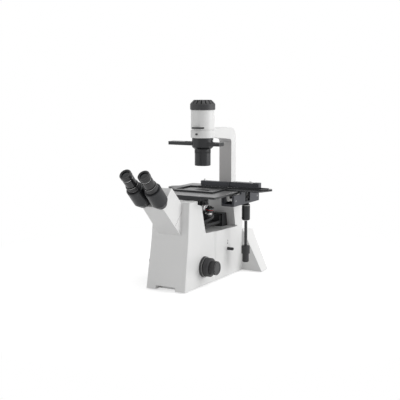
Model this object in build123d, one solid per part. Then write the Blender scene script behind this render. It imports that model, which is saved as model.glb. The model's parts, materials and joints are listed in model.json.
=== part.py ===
"""Inverted laboratory microscope, in millimetres.

+Z is up, +X is the user's right hand and -Y points at the user. The origin is
on the optical axis, at the height of the table top.
"""
from build123d import *
from math import cos, hypot, pi, radians, sin, tan
import os

os.makedirs("parts", exist_ok=True)

# Clearances
SEAT_GAP = 0.2               # round a piece that is dropped into its seat
RUN_GAP = 0.05               # radial clearance of a shaft or slide
SWING_GAP = 0.5              # between pieces that turn or slide past each other
HOLE_GAP = 2.0               # round a moving leg that passes through a wall

# Stand casting
FOOT_HEIGHT = 3.0            # rubber that shows under the casting
STAND_WALL = 6.0
FRONT_BASE_Y = -214.0        # front edge at the table
FRONT_BASE_HALF = 64.0       # half width there
BREAK_Z = 143.0              # height where the front face steepens
BREAK_Y = -190.0
BREAK_HALF = 61.0
PILLAR_TOP_Z = 250.0         # both pillars end here, under the stage
PILLAR_TOP_Y = -178.0
PILLAR_TOP_HALF = 59.0
FRONT_FLARE = 2.5            # widening of the front half towards its rear
STEP_Y = -52.0               # where the side wall steps out
STEP_RUN = 14.0              # length of the bevel on that step
REAR_HALF = 67.5             # half width of the rear half
SIDE_END_Y = 131.0           # rear end of the straight side wall
REAR_Y = 174.0               # rear face
REAR_SHOULDER_Y = 104.0      # where the top of the side wall starts to fall
REAR_SHOULDER_Z = 148.0
BUTTRESS_TOP = 133.0         # the two rear buttresses, which spread to the table
BUTTRESS_HALF = 135.0
BUTTRESS_REAR_TOP = 127.0
BUTTRESS_REAR_HALF = 81.0    # half width of their rear edge at the top
REAR_PILLAR_HALF = 61.0
REAR_PILLAR_END = 143.0
EDGE_R = 4.0                 # rounding of the front vertical edges

# Opening for the nosepiece, right through the stand from side to side
FLOOR_FRONT_Y = -93.0
FLOOR_FRONT_Z = 152.0
FLOOR_REAR_Y = 95.0
FLOOR_REAR_Z = 146.0
FLOOR_CORNER_R = 9.0
SHOULDER_Y = -135.0          # the front pillar is cut back to this line at its top
SHOULDER_Z = 240.0
OPENING_FRONT_Y = -113.0
OPENING_FRONT_Z = 234.0
OPENING_REAR_Y = 84.0
OPENING_REAR_Z = 204.0
OPENING_TOP_REAR_Y = 73.0

# Hand recess under the front edge
HAND_HALF = 32.0
HAND_HEIGHT = 14.0
HAND_DEPTH = 22.0

# Viewing head, which leaves the stand at the tilt of the eyepieces
TUBE_TILT = 45.0
PIVOT_Y = -253.5             # where the arms' pivot meets the sloping face
PIVOT_Z = 272.0
HEAD_HALF = 33.0             # half width at the sloping face
HEAD_FLARE = 4.0             # widening from there to the pillar
HEAD_TALL = 68.6             # size of the face along its slope
HEAD_REACH = 85.0            # from the face back to the seam with the stand
HEAD_ROOT = 150.0            # from the face back to inside the pillar
HEAD_WALL = 5.0
TUBE_LENS_R = 18.0
LENS_SEAT = 81.0             # from the face back to the rear of the tube lens web

# Eyepiece arms, each with its prism channel and hub on the pivot tube
ARM_RADIUS = 38.65           # pivot axis to eyepiece axis
ARM_DROOP = 47.7             # arm angle from straight down the slope
ARM_END = 69.0
ARM_R = 23.5
ARM_WALL = 3.0
ARM_ROUND = 9.0
HUB_R = 12.5
HUB_GAP = 0.8                # between the head's face and the first hub
HUB_THICK = 11.0
CHANNEL_START = 25.0
CHANNEL_THICK = 16.0
WEB_HALF = 11.5
PIVOT_R = 9.0
PIVOT_BORE = 6.5
PRISM_SIDE = 10.0
TUBE_R = 16.5
TUBE_START = 62.0
TUBE_END = 86.0
TUBE_LIP_R = 17.8
TUBE_LIP = 2.5
DIOPTER_R = 18.6
DIOPTER_RIBS = 30
EYEPIECE_R = 15.0            # barrel of a wide-field eyepiece
EYEPIECE_END = 118.0
EYECUP_R = 16.8
EYECUP_END = 128.5
EYEPIECE_BARREL = 30.0
LENS_R = 11.0

# Focus drive
FOCUS_Y = -108.0
FOCUS_Z = 58.0
FOCUS_WALL_X = 65.5          # outer face of the boss round the shaft
COLLAR_R = 30.0
COLLAR_LENGTH = 8.5
COARSE_R = 27.0
COARSE_LENGTH = 17.5
FINE_R = 20.0
FINE_LENGTH = 19.0
COARSE_SHAFT_R = 4.5
FINE_SHAFT_R = 2.5
BUSH_R = 11.0
KNOB_FLUTES = 36
GEAR_MODULE = 1.0
PINION_TEETH = 12
FOCUS_RACK_X = 34.0
FOCUS_RACK_WIDTH = 12.0
FOCUS_RACK_TEETH = 12
LEG_Y = -88.0                # front face of the leg that carries the rack
LEG_DEEP = 10.0

# Nosepiece
SEAT_Z = 204.0               # seat of the objective that stands on the optical axis
TURRET_TILT = 15.0
STATION_R = 36.0
TURRET_R = 50.0
TURRET_THICK = 16.0
STATIONS = 5
THREAD_R = 10.0
OBJECTIVE_LENGTHS = (46.0, 40.0, 34.0, 30.0, 24.0)
OBJECTIVE_RADII = (17.0, 13.5, 12.5, 12.5, 13.0)
CARRIAGE_Z = 158.0
CARRIAGE_THICK = 8.0
CARRIAGE_HALF = 30.0
GUIDE_Y = 60.0
GUIDE_HALF = 34.0
GUIDE_TOP = 186.0
TONGUE_HALF = 10.0
TONGUE_DEEP = 7.0
LIGHT_BORE_R = 13.0

# Stage
STAGE_Z = 264.0
STAGE_THICK = 6.0
STAGE_HALF = 113.0
STAGE_FRONT_Y = -134.0
STAGE_REAR_Y = 136.0
STAGE_CORNER_R = 5.0
STAGE_BODY_HALF = 66.0       # thicker middle, which stands on the pillars
INSERT_R = 55.0
INSERT_THICK = 3.0
INSERT_HOLE_R = 20.0
WELL_R = 49.0

# Stage drive, hanging from the right-hand side of the stage
HOUSING_X0 = 85.0
HOUSING_X1 = 126.0
HOUSING_Y0 = -40.0
HOUSING_Y1 = 126.0
HOUSING_Z = 226.5
HOUSING_WALL = 6.5
SLOT_Y0 = 33.0
SLOT_Y1 = 63.0
RAISED_Y = 8.0
DRIVE_X = 118.0
DRIVE_Y = 53.0
DRIVE_TUBE_R = 12.25
DRIVE_TUBE_Z = 177.0
Y_SHAFT_R = 4.5
X_SHAFT_R = 2.5
Y_KNOB_R = 12.5
X_KNOB_R = 9.75
Y_KNOB_Z = 74.0
X_KNOB_Z = 48.0
KNOB_TOP_Z = 98.0
Y_PINION_Z = 241.0
RAIL_X = 97.0
RAIL_WIDE = 10.0
RAIL_Z = 240.0
RAIL_Y0 = -32.0
RAIL_Y1 = 118.0

# Slide and holder above the stage
SLIDE_THICK = 2.5
SLIDE_X0 = 71.0
SLIDE_X1 = 197.0
SLIDE_Y0 = 12.0
SLIDE_Y1 = 80.0
SLIDE_CORNER = 14.0
COVER_X0 = -41.0
COVER_Y0 = 44.5
RACK_SLOT_WIDE = 14.0
X_TRAVEL_LEFT = 60.0
X_TRAVEL_RIGHT = 38.0
HOLDER_X0 = -73.0
HOLDER_X1 = 68.0
HOLDER_Y0 = -62.0
HOLDER_Y1 = 61.0
HOLDER_THICK = 4.0
PLATE_LONG = 128.5           # pocket for a standard microplate, with clearance
PLATE_WIDE = 86.5
PLATE_X = -3.0
TAB_TIP_X = -112.0
CLIP_X = 56.0
CLIP_Y = 50.0
BEAM_Y0 = 61.0
BEAM_Y1 = 79.0
BEAM_X0 = -41.0
BEAM_X1 = 155.0
BEAM_TOP = 283.0
BEAM_SPLIT = 58.0
BEAM_STEP = 1.5
END_BLOCK_X = 137.0
END_BLOCK_TOP = 286.0
RIB_HALF = 3.0
RIB_TALL = 2.5
BRACKET_Y1 = 95.0
BRACKET_X0 = 62.0
THUMB_R = 3.2
THUMB_TALL = 5.5

# Illumination arm and lamp
ARM_HALF = 21.0
COLUMN_Y = 143.5
COLUMN_Z = 140.0
ARM_TOP = 444.0
ARM_UNDER_FRONT = 419.0
ARM_UNDER_REAR = 407.0
ARM_REAR_R = 35.0
ARM_INNER_R = 12.0
RING_R = 35.5
RING_Z0 = 419.5
RING_Z1 = 441.5
RING_BORE = 27.0
RING_FLAT = 34.2
FACET_TURN = -118.0          # direction that the flat on the ring faces
LAMP_R = 34.8
LAMP_Z = 444.6
LAMP_WALL = 2.5
CAP_Z = 502.0
CAP_R = 37.1
CAP_TOP = 530.0
CAP_TOP_R = 23.0
CAP_SLOTS = 16
SOCKET_R = 9.0
CLAMP_R = 1.5
HOLDER_R = 31.6
HOLDER_Z = 386.0
HOLDER_BREAK = 390.0
CONDENSER_R = 23.6
CONDENSER_Z = 337.0
CONDENSER_BORE = 19.5
PHASE_Z = 396.0
PHASE_TALL = 10.0
PHASE_HALF = 17.0
PHASE_LONG = 173.5
PHASE_PITCH = 46.5
PHASE_APERTURE = 14.0
DIAPHRAGM_Z = 447.0
DIAPHRAGM_TALL = 4.0
LEVER_HALF = 13.0
LEVER_SWING = 12.0           # degrees each way

# Light path and services inside the stand
MIRROR_R = 20.0
MIRROR_THICK = 4.0
FOLD_Z = 18.5                # where the axis folds up towards the eyepieces
BASE_THICK = 3.0
SELECTOR_Y = 33.0
SELECTOR_Z = 87.0
SELECTOR_R = 4.2
SELECTOR_REACH = 19.0
SLIDE_SHELF_Z = 70.0
PRISM_CUBE = 24.0
BRACKET_HALF = 34.0
PORT_R = 15.0
PORT_RING_R = 22.0
PORT_REACH = 12.0
INLET_Z = 42.0
INLET_HALF_X = 14.0
INLET_HALF_Z = 12.0
DIAL_Y = 48.0
SWITCH_Y = 92.0
CONTROL_Z = 42.0
SWITCH_PIN_R = 1.5
SWITCH_PIN_REACH = 12.0

# Places worked out from the sizes above
SWITCH_PIN_X = STAND_WALL / 2 - REAR_HALF
PIVOT_POINT = (0, PIVOT_Y, PIVOT_Z)
PRISM_TOP = SLIDE_SHELF_Z + 8 + PRISM_CUBE
PITCH_R = GEAR_MODULE * PINION_TEETH / 2
TOOTH_PITCH = pi * GEAR_MODULE
TILT = radians(TUBE_TILT)
HEAD = Plane(PIVOT_POINT, x_dir=(1, 0, 0), z_dir=(0, -sin(TILT), cos(TILT))).location
CONE = radians(TURRET_TILT)
TURRET_Y = -STATION_R * cos(CONE)
TURRET_Z = SEAT_Z - STATION_R * sin(CONE)
TURRET = Plane((0, TURRET_Y, TURRET_Z), x_dir=(1, 0, 0), z_dir=(0, -sin(CONE), cos(CONE))).location
SLIDE_Z = STAGE_Z + SWING_GAP
COVER_Z = SLIDE_Z + SLIDE_THICK
BEAM_Z = COVER_Z + SLIDE_THICK + SWING_GAP
HOUSING_TOP = STAGE_Z - STAGE_THICK - SWING_GAP
LAMP_CLAMP = (-90, 431, RING_R)
CONDENSER_CLAMP = (0, 411, HOLDER_R)
FLOOR_SLOPE = (FLOOR_REAR_Z - FLOOR_FRONT_Z) / (FLOOR_REAR_Y - FLOOR_FRONT_Y)


def block(x0, x1, y0, y1, z0, z1):
    """Box between two corners."""
    size = (x1 - x0, y1 - y0, z1 - z0)
    return Pos((x0 + x1) / 2, (y0 + y1) / 2, (z0 + z1) / 2) * Box(*size)


def side_prism(outline, x0, x1):
    """Face drawn with y across and z up, carried along X."""
    return Pos(x0, 0, 0) * extrude(Plane.YZ * outline, x1 - x0, dir=(1, 0, 0))


def plan_prism(points, z0, z1):
    """Outline of (x, y) points, carried up Z."""
    return Pos(0, 0, z0) * extrude(polygon(points), z1 - z0, dir=(0, 0, 1))


def polygon(points):
    """Closed flat face with straight sides."""
    return make_face(Polyline(*points, close=True))


def turned(points):
    """Solid of revolution about Z from (radius, height) points."""
    return revolve(Plane.XZ * polygon(points), Axis.Z)


def disc(radius, z0, z1, x=0, y=0):
    """Upright cylinder."""
    return Pos(x, y, z0) * Cylinder(radius, z1 - z0, align=(Align.CENTER, Align.CENTER, Align.MIN))


def ring(outer, inner, z0, z1, x=0, y=0):
    """Upright tube."""
    return disc(outer, z0, z1, x, y) - disc(inner, z0, z1, x, y)


def across(shape, x, y, z):
    """Lay a shape made along +Z so that it points along +X from a point."""
    return Pos(x, y, z) * Rot(0, 90, 0) * shape


def mirrored(shape):
    """The same piece on the other side of the stand."""
    return mirror(shape, about=Plane.YZ)


def fluted(radius, z0, z1, count, depth):
    """Round grip with flutes cut along it."""
    grip = disc(radius, z0, z1)
    flute = disc(depth, z0, z1, radius + 0.4 * depth)
    return grip - [Rot(0, 0, 360 * k / count) * flute for k in range(count)]


def tooth(module, thickness):
    """Straight-flanked tooth that points along +X, with its pitch line on X = 0."""
    half_root = 0.95 * module
    half_pitch = 0.62 * module
    half_tip = 0.3 * module
    outline = [
        (-1.5 * module, -half_root),
        (0, -half_pitch),
        (module, -half_tip),
        (module, half_tip),
        (0, half_pitch),
        (-1.5 * module, half_root),
    ]
    return plan_prism(outline, 0, thickness)


def pinion(thickness):
    """Gear standing on the XY plane, with one tooth along +X."""
    body = disc(PITCH_R - 1.2 * GEAR_MODULE, 0, thickness)
    one = Pos(PITCH_R, 0, 0) * tooth(GEAR_MODULE, thickness)
    return body + [Rot(0, 0, 360 * k / PINION_TEETH) * one for k in range(PINION_TEETH)]


def rack(teeth, deep, thickness):
    """Rack along +X that starts in a tooth gap, teeth towards -Y, pitch line on Y = 0."""
    body = block(0, teeth * TOOTH_PITCH, 1.2 * GEAR_MODULE, deep, 0, thickness)
    one = Rot(0, 0, -90) * tooth(GEAR_MODULE, thickness)
    return body + [Pos((k + 0.5) * TOOTH_PITCH, 0, 0) * one for k in range(teeth)]


def floor_height(y):
    """Height of the floor of the nosepiece opening."""
    return FLOOR_FRONT_Z + (y - FLOOR_FRONT_Y) * FLOOR_SLOPE


def ceiling_height(y):
    """Underside of that floor."""
    return floor_height(y) - STAND_WALL * hypot(1, FLOOR_SLOPE)


def save(name, shape):
    """Write one sub-part."""
    export_step(shape, f"parts/{name}.step")


# Stand

def stand_level(half, front_y, z, inset):
    """Level outline of the front half of the stand."""
    front = half - inset
    rear = front + FRONT_FLARE
    rear_y = STEP_Y + STEP_RUN
    corners = [(-front, front_y + inset), (front, front_y + inset), (rear, rear_y), (-rear, rear_y)]
    return Pos(0, 0, z) * polygon(corners)


def stand_form(inset):
    """Outer form of the stand, or that of its cavity when inset by the wall."""
    base = stand_level(FRONT_BASE_HALF, FRONT_BASE_Y, FOOT_HEIGHT, inset)
    middle = stand_level(BREAK_HALF, BREAK_Y, BREAK_Z, inset)
    top = stand_level(PILLAR_TOP_HALF, PILLAR_TOP_Y, PILLAR_TOP_Z - inset, inset)
    front = loft([base, middle, top], ruled=True)

    inner = REAR_HALF - STAND_WALL - inset
    outer = REAR_HALF - inset
    step_end = STEP_Y + STEP_RUN
    plan = [(-inner, STEP_Y), (inner, STEP_Y), (outer, step_end), (outer, SIDE_END_Y + 2 * inset)]
    plan += [(-outer, SIDE_END_Y + 2 * inset), (-outer, step_end)]
    rear = plan_prism(plan, FOOT_HEIGHT, REAR_SHOULDER_Z + STAND_WALL)
    roof = polygon([
        (STEP_Y - 1, FOOT_HEIGHT),
        (STEP_Y - 1, floor_height(STEP_Y) + 1 - inset),
        (REAR_SHOULDER_Y, REAR_SHOULDER_Z - inset),
        (SIDE_END_Y, BUTTRESS_TOP - inset),
        (REAR_Y - inset, BUTTRESS_REAR_TOP - inset),
        (REAR_Y - inset, FOOT_HEIGHT),
    ])
    rear = rear & side_prism(roof, -REAR_HALF, REAR_HALF)

    pillar_half = REAR_PILLAR_HALF - inset
    pillar_end = REAR_PILLAR_END - inset
    pillar_foot = BUTTRESS_REAR_TOP - 2 * STAND_WALL
    pillar = block(-pillar_half, pillar_half, OPENING_TOP_REAR_Y, pillar_end, pillar_foot, PILLAR_TOP_Z - inset)
    return front + rear + pillar + buttresses(inset)


def buttresses(inset):
    """Rear end of the stand, which spreads out to the table on both sides."""
    lean = (BUTTRESS_HALF - REAR_HALF) / (BUTTRESS_TOP - FOOT_HEIGHT)
    side = inset * hypot(1, lean)
    faces = []
    for y, foot, head, top in (
        (SIDE_END_Y + inset, BUTTRESS_HALF, REAR_HALF, BUTTRESS_TOP),
        (REAR_Y - inset, BUTTRESS_HALF + 1, BUTTRESS_REAR_HALF, BUTTRESS_REAR_TOP),
    ):
        foot_half = foot - side
        head_half = head - side + inset * lean
        corners = [(-foot_half, FOOT_HEIGHT), (foot_half, FOOT_HEIGHT)]
        corners += [(head_half, top - inset), (-head_half, top - inset)]
        faces.append(Plane((0, y, 0), x_dir=(1, 0, 0), z_dir=(0, -1, 0)) * polygon(corners))
    return loft(faces, ruled=True)


def opening_form(margin):
    """Space of the nosepiece opening, or the metal round it when grown by a margin."""
    clear = PILLAR_TOP_Z + 3 * STAND_WALL
    outline = polygon([
        (SHOULDER_Y, clear),
        (SHOULDER_Y, SHOULDER_Z),
        (OPENING_FRONT_Y, OPENING_FRONT_Z),
        (FLOOR_FRONT_Y, FLOOR_FRONT_Z),
        (FLOOR_REAR_Y, FLOOR_REAR_Z),
        (OPENING_REAR_Y, OPENING_REAR_Z),
        (OPENING_TOP_REAR_Y, PILLAR_TOP_Z),
        (OPENING_TOP_REAR_Y, clear),
    ])
    corner = outline.vertices().sort_by_distance((FLOOR_FRONT_Y, FLOOR_FRONT_Z, 0))[0]
    outline = fillet(corner, FLOOR_CORNER_R)
    if margin:
        outline = offset(outline, amount=margin, kind=Kind.INTERSECTION)
    return side_prism(outline, -BUTTRESS_HALF, BUTTRESS_HALF)


def head_width(distance):
    """Half width of the head at a distance behind its sloping face."""
    return HEAD_HALF + HEAD_FLARE * distance / HEAD_ROOT


def head_length(inset, start, end):
    """Head block between two distances, both sides on the same flared planes."""
    tall = HEAD_TALL / 2 - inset
    sections = []
    for distance in (end, start):
        half = head_width(distance) - inset
        sections.append(Pos(0, 0, -distance) * Rectangle(2 * half, 2 * tall))
    return HEAD * loft(sections, ruled=True)


def hand_pocket(wall):
    """Hand recess, grown by a wall for the metal round it."""
    half = HAND_HALF + wall
    front = FRONT_BASE_Y - STAND_WALL
    if wall:
        front = FRONT_BASE_Y + STAND_WALL
    return block(-half, half, front, FRONT_BASE_Y + HAND_DEPTH + wall, FOOT_HEIGHT, HAND_HEIGHT + wall)


def leg_hole():
    """Hole in the floor of the opening for the leg of the focus carriage."""
    x0 = FOCUS_RACK_X - HOLE_GAP
    x1 = FOCUS_RACK_X + FOCUS_RACK_WIDTH + HOLE_GAP
    y0 = LEG_Y - HOLE_GAP
    y1 = LEG_Y + LEG_DEEP + HOLE_GAP
    return block(x0, x1, y0, y1, FLOOR_REAR_Z - 2 * STAND_WALL, FLOOR_FRONT_Z + STAND_WALL)


def stand_casting():
    """Hollow casting: base, both pillars, the nose of the head and the rear buttresses."""
    outer = stand_form(0)
    front_edges = [
        edge for edge in outer.edges()
        if edge.center().Y < BREAK_Y / 2 - STAND_WALL
        and abs(abs(edge.center().X) - BREAK_HALF) < 2 * HOLE_GAP
        and abs(edge.tangent_at(0.5).Z) > 0.9
    ]
    outer = fillet(front_edges, EDGE_R)
    cavity = stand_form(STAND_WALL)
    body = outer - (cavity - opening_form(STAND_WALL))
    body = body + (hand_pocket(STAND_WALL) & cavity)
    nose = head_length(0, HEAD_REACH, HEAD_ROOT) - head_length(HEAD_WALL, HEAD_REACH, HEAD_ROOT)
    body = body + (nose - cavity)
    boss = across(disc(COLLAR_R + 1, 0, 2 * STAND_WALL), FOCUS_WALL_X - 2 * STAND_WALL, FOCUS_Y, FOCUS_Z)
    body = body + boss + mirrored(boss)
    column_pad = block(-ARM_HALF - STAND_WALL, ARM_HALF + STAND_WALL, REAR_PILLAR_END, REAR_Y,
                       BUTTRESS_REAR_TOP - STAND_WALL, COLUMN_Z)
    body = body + column_pad

    body = body - opening_form(0) - hand_pocket(0) - leg_hole()
    body = body - head_length(HEAD_WALL, HEAD_REACH - 1, HEAD_ROOT - 2 * HEAD_WALL)
    body = body - head_length(-SEAT_GAP, 0, HEAD_REACH)
    body = body - disc(LIGHT_BORE_R, ceiling_height(0) - STAND_WALL, FLOOR_FRONT_Z)
    shaft_hole = across(disc(BUSH_R + SEAT_GAP, 0, 2 * REAR_HALF), -REAR_HALF, FOCUS_Y, FOCUS_Z)
    body = body - shaft_hole
    rod_hole = across(disc(SELECTOR_R + RUN_GAP, 0, 2 * STAND_WALL), REAR_HALF - 1.5 * STAND_WALL,
                      SELECTOR_Y, SELECTOR_Z)
    port_hole = across(disc(PORT_RING_R - 3 + SEAT_GAP, 0, 2 * STAND_WALL), -REAR_HALF - 1, 0, SELECTOR_Z)
    dial_hole = across(disc(3, 0, 2 * STAND_WALL), -REAR_HALF - 1, DIAL_Y, CONTROL_Z)
    switch_hole = block(-REAR_HALF - 1, -REAR_HALF + 2 * STAND_WALL, SWITCH_Y - 9, SWITCH_Y + 9,
                        CONTROL_Z - 13, CONTROL_Z + 13)
    inlet_hole = block(-INLET_HALF_X, INLET_HALF_X, REAR_Y - 2 * STAND_WALL, REAR_Y + 1,
                       INLET_Z - INLET_HALF_Z, INLET_Z + INLET_HALF_Z)
    body = body - rod_hole - port_hole - dial_hole - switch_hole - inlet_hole
    return body - switch_pin(SWITCH_PIN_R + RUN_GAP)


def mirror_mount():
    """Wedge under the folding mirror."""
    low = FOOT_HEIGHT + BASE_THICK
    half = MIRROR_R - 3
    lean = tan(radians(TUBE_TILT / 2))
    middle = FOLD_Z - MIRROR_THICK / cos(radians(TUBE_TILT / 2))
    wedge = [(-half, low), (half, low), (half, middle + half * lean), (-half, middle - half * lean)]
    return side_prism(polygon(wedge), -half, half)


def base_plate():
    """Cover that closes the bottom of the casting, with the seat of the folding mirror."""
    top = FOOT_HEIGHT + BASE_THICK
    slab = block(-BUTTRESS_HALF, BUTTRESS_HALF, FRONT_BASE_Y, REAR_Y, FOOT_HEIGHT, top)
    plate = (stand_form(STAND_WALL + SEAT_GAP) & slab) - hand_pocket(STAND_WALL + SEAT_GAP)
    return plate + mirror_mount()


def rubber_feet():
    """Four feet under the base plate."""
    places = []
    for side in (-1, 1):
        places.append((side * 48, FRONT_BASE_Y + 19))
        places.append((side * 114, REAR_Y - 22.5))
    foot = turned([(0, 0), (9, 0), (10, 1), (10, FOOT_HEIGHT), (0, FOOT_HEIGHT)])
    return Compound(children=[Pos(x, y, 0) * foot for x, y in places])


def head_housing():
    """Front part of the head, with the arms' pivot in its face and a web for the tube lens."""
    shell = head_length(0, 0, HEAD_REACH) - head_length(HEAD_WALL, HEAD_WALL, HEAD_REACH + 1)
    shell = fillet(shell.faces().sort_by_distance(PIVOT_POINT)[0].edges(), 2)
    web = head_length(HEAD_WALL, LENS_SEAT - 6, LENS_SEAT)
    web = web - HEAD * disc(TUBE_LENS_R + SEAT_GAP, -LENS_SEAT - 1, -LENS_SEAT + 7)
    return shell + web - HEAD * disc(PIVOT_R + SEAT_GAP, -HEAD_WALL - 1, 1)


def pivot_tube():
    """Tube that both arms turn on, held by its flange behind the face."""
    top = HUB_GAP + 2 * HUB_THICK + SWING_GAP + SWING_GAP
    stem = ring(PIVOT_R, PIVOT_BORE, -HEAD_WALL, top)
    flange = ring(PIVOT_R + 6, PIVOT_BORE, -HEAD_WALL - 3, -HEAD_WALL)
    return HEAD * (stem + flange)


def tube_lens():
    """Lens that sends the image on to the eyepieces."""
    return HEAD * lens(TUBE_LENS_R, -LENS_SEAT + 1, -LENS_SEAT + 5, 1)


def lens(radius, z0, z1, crown):
    """Glass disc, thicker in the middle on both sides by a crown."""
    edge = 0.3 * (z1 - z0)
    body = disc(radius, z0 + edge, z1 - edge)
    bulge = (radius ** 2 + crown ** 2) / (2 * crown)
    cap = Pos(0, 0, z1 - edge + crown - bulge) * Sphere(bulge)
    low = Pos(0, 0, z0 + edge - crown + bulge) * Sphere(bulge)
    limit = disc(radius, z0 - crown, z1 + crown)
    return body + (cap & low & limit)


def base_mirror():
    """Mirror that folds the light from the objective towards the eyepieces."""
    return Pos(0, 0, FOLD_Z) * Rot(TUBE_TILT / 2, 0, 0) * disc(MIRROR_R, -MIRROR_THICK, 0)


def prism_bracket():
    """Bracket under the floor of the opening, with a shelf for the prism slide."""
    half = PRISM_CUBE / 2 + 6
    outline = polygon([
        (-half, SLIDE_SHELF_Z),
        (half, SLIDE_SHELF_Z),
        (half, ceiling_height(half)),
        (-half, ceiling_height(-half)),
    ])
    frame = side_prism(outline, -BRACKET_HALF, BRACKET_HALF)
    inner = block(-BRACKET_HALF + 4, BRACKET_HALF - 4, -half, half, SLIDE_SHELF_Z + 4, FLOOR_FRONT_Z)
    bar_hole = block(-BRACKET_HALF, BRACKET_HALF, -half + 4, half, SLIDE_SHELF_Z + 4, PRISM_TOP + 4)
    return frame - inner - bar_hole - disc(LIGHT_BORE_R, SLIDE_SHELF_Z, SLIDE_SHELF_Z + 4)


def prism_slide():
    """Carrier that moves the port prism in and out of the light."""
    base = SLIDE_SHELF_Z + 4 + RUN_GAP
    half = PRISM_CUBE / 2
    plate = block(-half - 2, half + 14, -half, half, base, base + 4)
    plate = plate + block(half + 6, half + 14, -half, SELECTOR_Y + 6, base, base + 4)
    plate = plate + block(half + 6, half + 14, SELECTOR_Y - 6, SELECTOR_Y + 6, base, SELECTOR_Z + 7)
    socket = across(disc(SELECTOR_R, 0, 8), half + 6, SELECTOR_Y, SELECTOR_Z)
    return plate - disc(LIGHT_BORE_R - 2, base, base + 4) - socket


def beam_prism():
    """Splitting prism: two right-angle halves in one cube."""
    base = SLIDE_SHELF_Z + 4 + RUN_GAP + 4
    half = PRISM_CUBE / 2
    low = polygon([(-half, base), (half, base), (-half, base + PRISM_CUBE)])
    high = polygon([(half, base), (half, base + PRISM_CUBE), (-half, base + PRISM_CUBE)])
    halves = []
    for outline in (low, high):
        halves.append(Rot(0, 0, 90) * side_prism(outline, -half, half))
    return Compound(children=halves)


def selector_rod():
    """Rod of the light-path selector, with its grip outside the wall."""
    start = PRISM_CUBE / 2 + 6
    shaft = disc(SELECTOR_R, 0, REAR_HALF + 2 - start)
    grip = fluted(SELECTOR_R + 0.3, REAR_HALF + 2 - start, REAR_HALF + SELECTOR_REACH - start - 1, 12, 0.4)
    tip = disc(SELECTOR_R - 0.5, REAR_HALF + SELECTOR_REACH - start - 1, REAR_HALF + SELECTOR_REACH - start)
    return across(shaft + grip + tip, start, SELECTOR_Y, SELECTOR_Z)


def camera_port():
    """Ring of the camera port on the left-hand wall."""
    flange = ring(PORT_RING_R, PORT_R, 0, PORT_REACH)
    spigot = ring(PORT_RING_R - 3, PORT_R, -STAND_WALL, 0)
    screw_hole = Pos(0, 0, PORT_REACH / 2) * Rot(90, 0, 0) * disc(1.5, PORT_R - 1, PORT_RING_R + 1)
    return Pos(-REAR_HALF, 0, SELECTOR_Z) * Rot(0, -90, 0) * (flange + spigot - screw_hole)


def power_inlet():
    """Inlet in the rear wall, with its three flat contacts."""
    gap = SEAT_GAP
    body = block(-INLET_HALF_X + gap, INLET_HALF_X - gap, REAR_Y - 18, REAR_Y,
                 INLET_Z - INLET_HALF_Z + gap, INLET_Z + INLET_HALF_Z - gap)
    rim = block(-INLET_HALF_X - 3, INLET_HALF_X + 3, REAR_Y, REAR_Y + 2,
                INLET_Z - INLET_HALF_Z - 3, INLET_Z + INLET_HALF_Z + 3)
    cavity = block(-INLET_HALF_X + 2.5, INLET_HALF_X - 2.5, REAR_Y - 14, REAR_Y + 2,
                   INLET_Z - INLET_HALF_Z + 3, INLET_Z + INLET_HALF_Z - 3)
    solids = [body + rim - cavity]
    for x, dz in ((-7, -2), (0, 3), (7, -2)):
        solids.append(block(x - 1, x + 1, REAR_Y - 14, REAR_Y - 2, INLET_Z + dz - 2, INLET_Z + dz + 2))
    return Compound(children=solids)


def power_switch():
    """Rocker of the mains switch on the left-hand wall."""
    half_y = 8
    half_z = 11.5
    face = -REAR_HALF
    outline = polygon([
        (face + 7, CONTROL_Z - half_z + 2),
        (face + 7, CONTROL_Z + half_z - 2),
        (face - 1.5, CONTROL_Z + half_z),
        (face, CONTROL_Z),
        (face - 1.5, CONTROL_Z - half_z),
    ])
    rocker = Pos(0, SWITCH_Y + half_y, 0) * extrude(Plane.XZ * outline, 2 * half_y, dir=(0, -1, 0))
    return rocker + switch_pin(SWITCH_PIN_R)


def switch_pin(radius):
    """Pivot of the rocker, in the middle of the wall's thickness."""
    pin = Pos(SWITCH_PIN_X, SWITCH_Y + SWITCH_PIN_REACH, CONTROL_Z) * Rot(90, 0, 0)
    return pin * disc(radius, 0, 2 * SWITCH_PIN_REACH)


def brightness_dial():
    """Knob that dims the lamp, on the left-hand wall."""
    grip = fluted(11, SWING_GAP, 10, 24, 0.8)
    stem = disc(3 - RUN_GAP, -STAND_WALL - 4, SWING_GAP)
    line = block(-0.6, 0.6, 4, 10, 9.4, 10)
    return Pos(-REAR_HALF, DIAL_Y, CONTROL_Z) * Rot(0, -90, 0) * (grip + stem - line)


# Eyepiece arms

def arm_place(side):
    """Frame of an arm: local +X runs from the pivot to the eyepiece axis."""
    return HEAD * Rot(0, 0, -90 + side * ARM_DROOP)


def arm_hub_start(side):
    """The right-hand hub sits on top of the left-hand one."""
    if side < 0:
        return HUB_GAP
    return HUB_GAP + HUB_THICK + SWING_GAP


def channel_start(side):
    """The prism channels are stacked in the same order."""
    if side < 0:
        return CHANNEL_START
    return CHANNEL_START + CHANNEL_THICK + SWING_GAP


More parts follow.
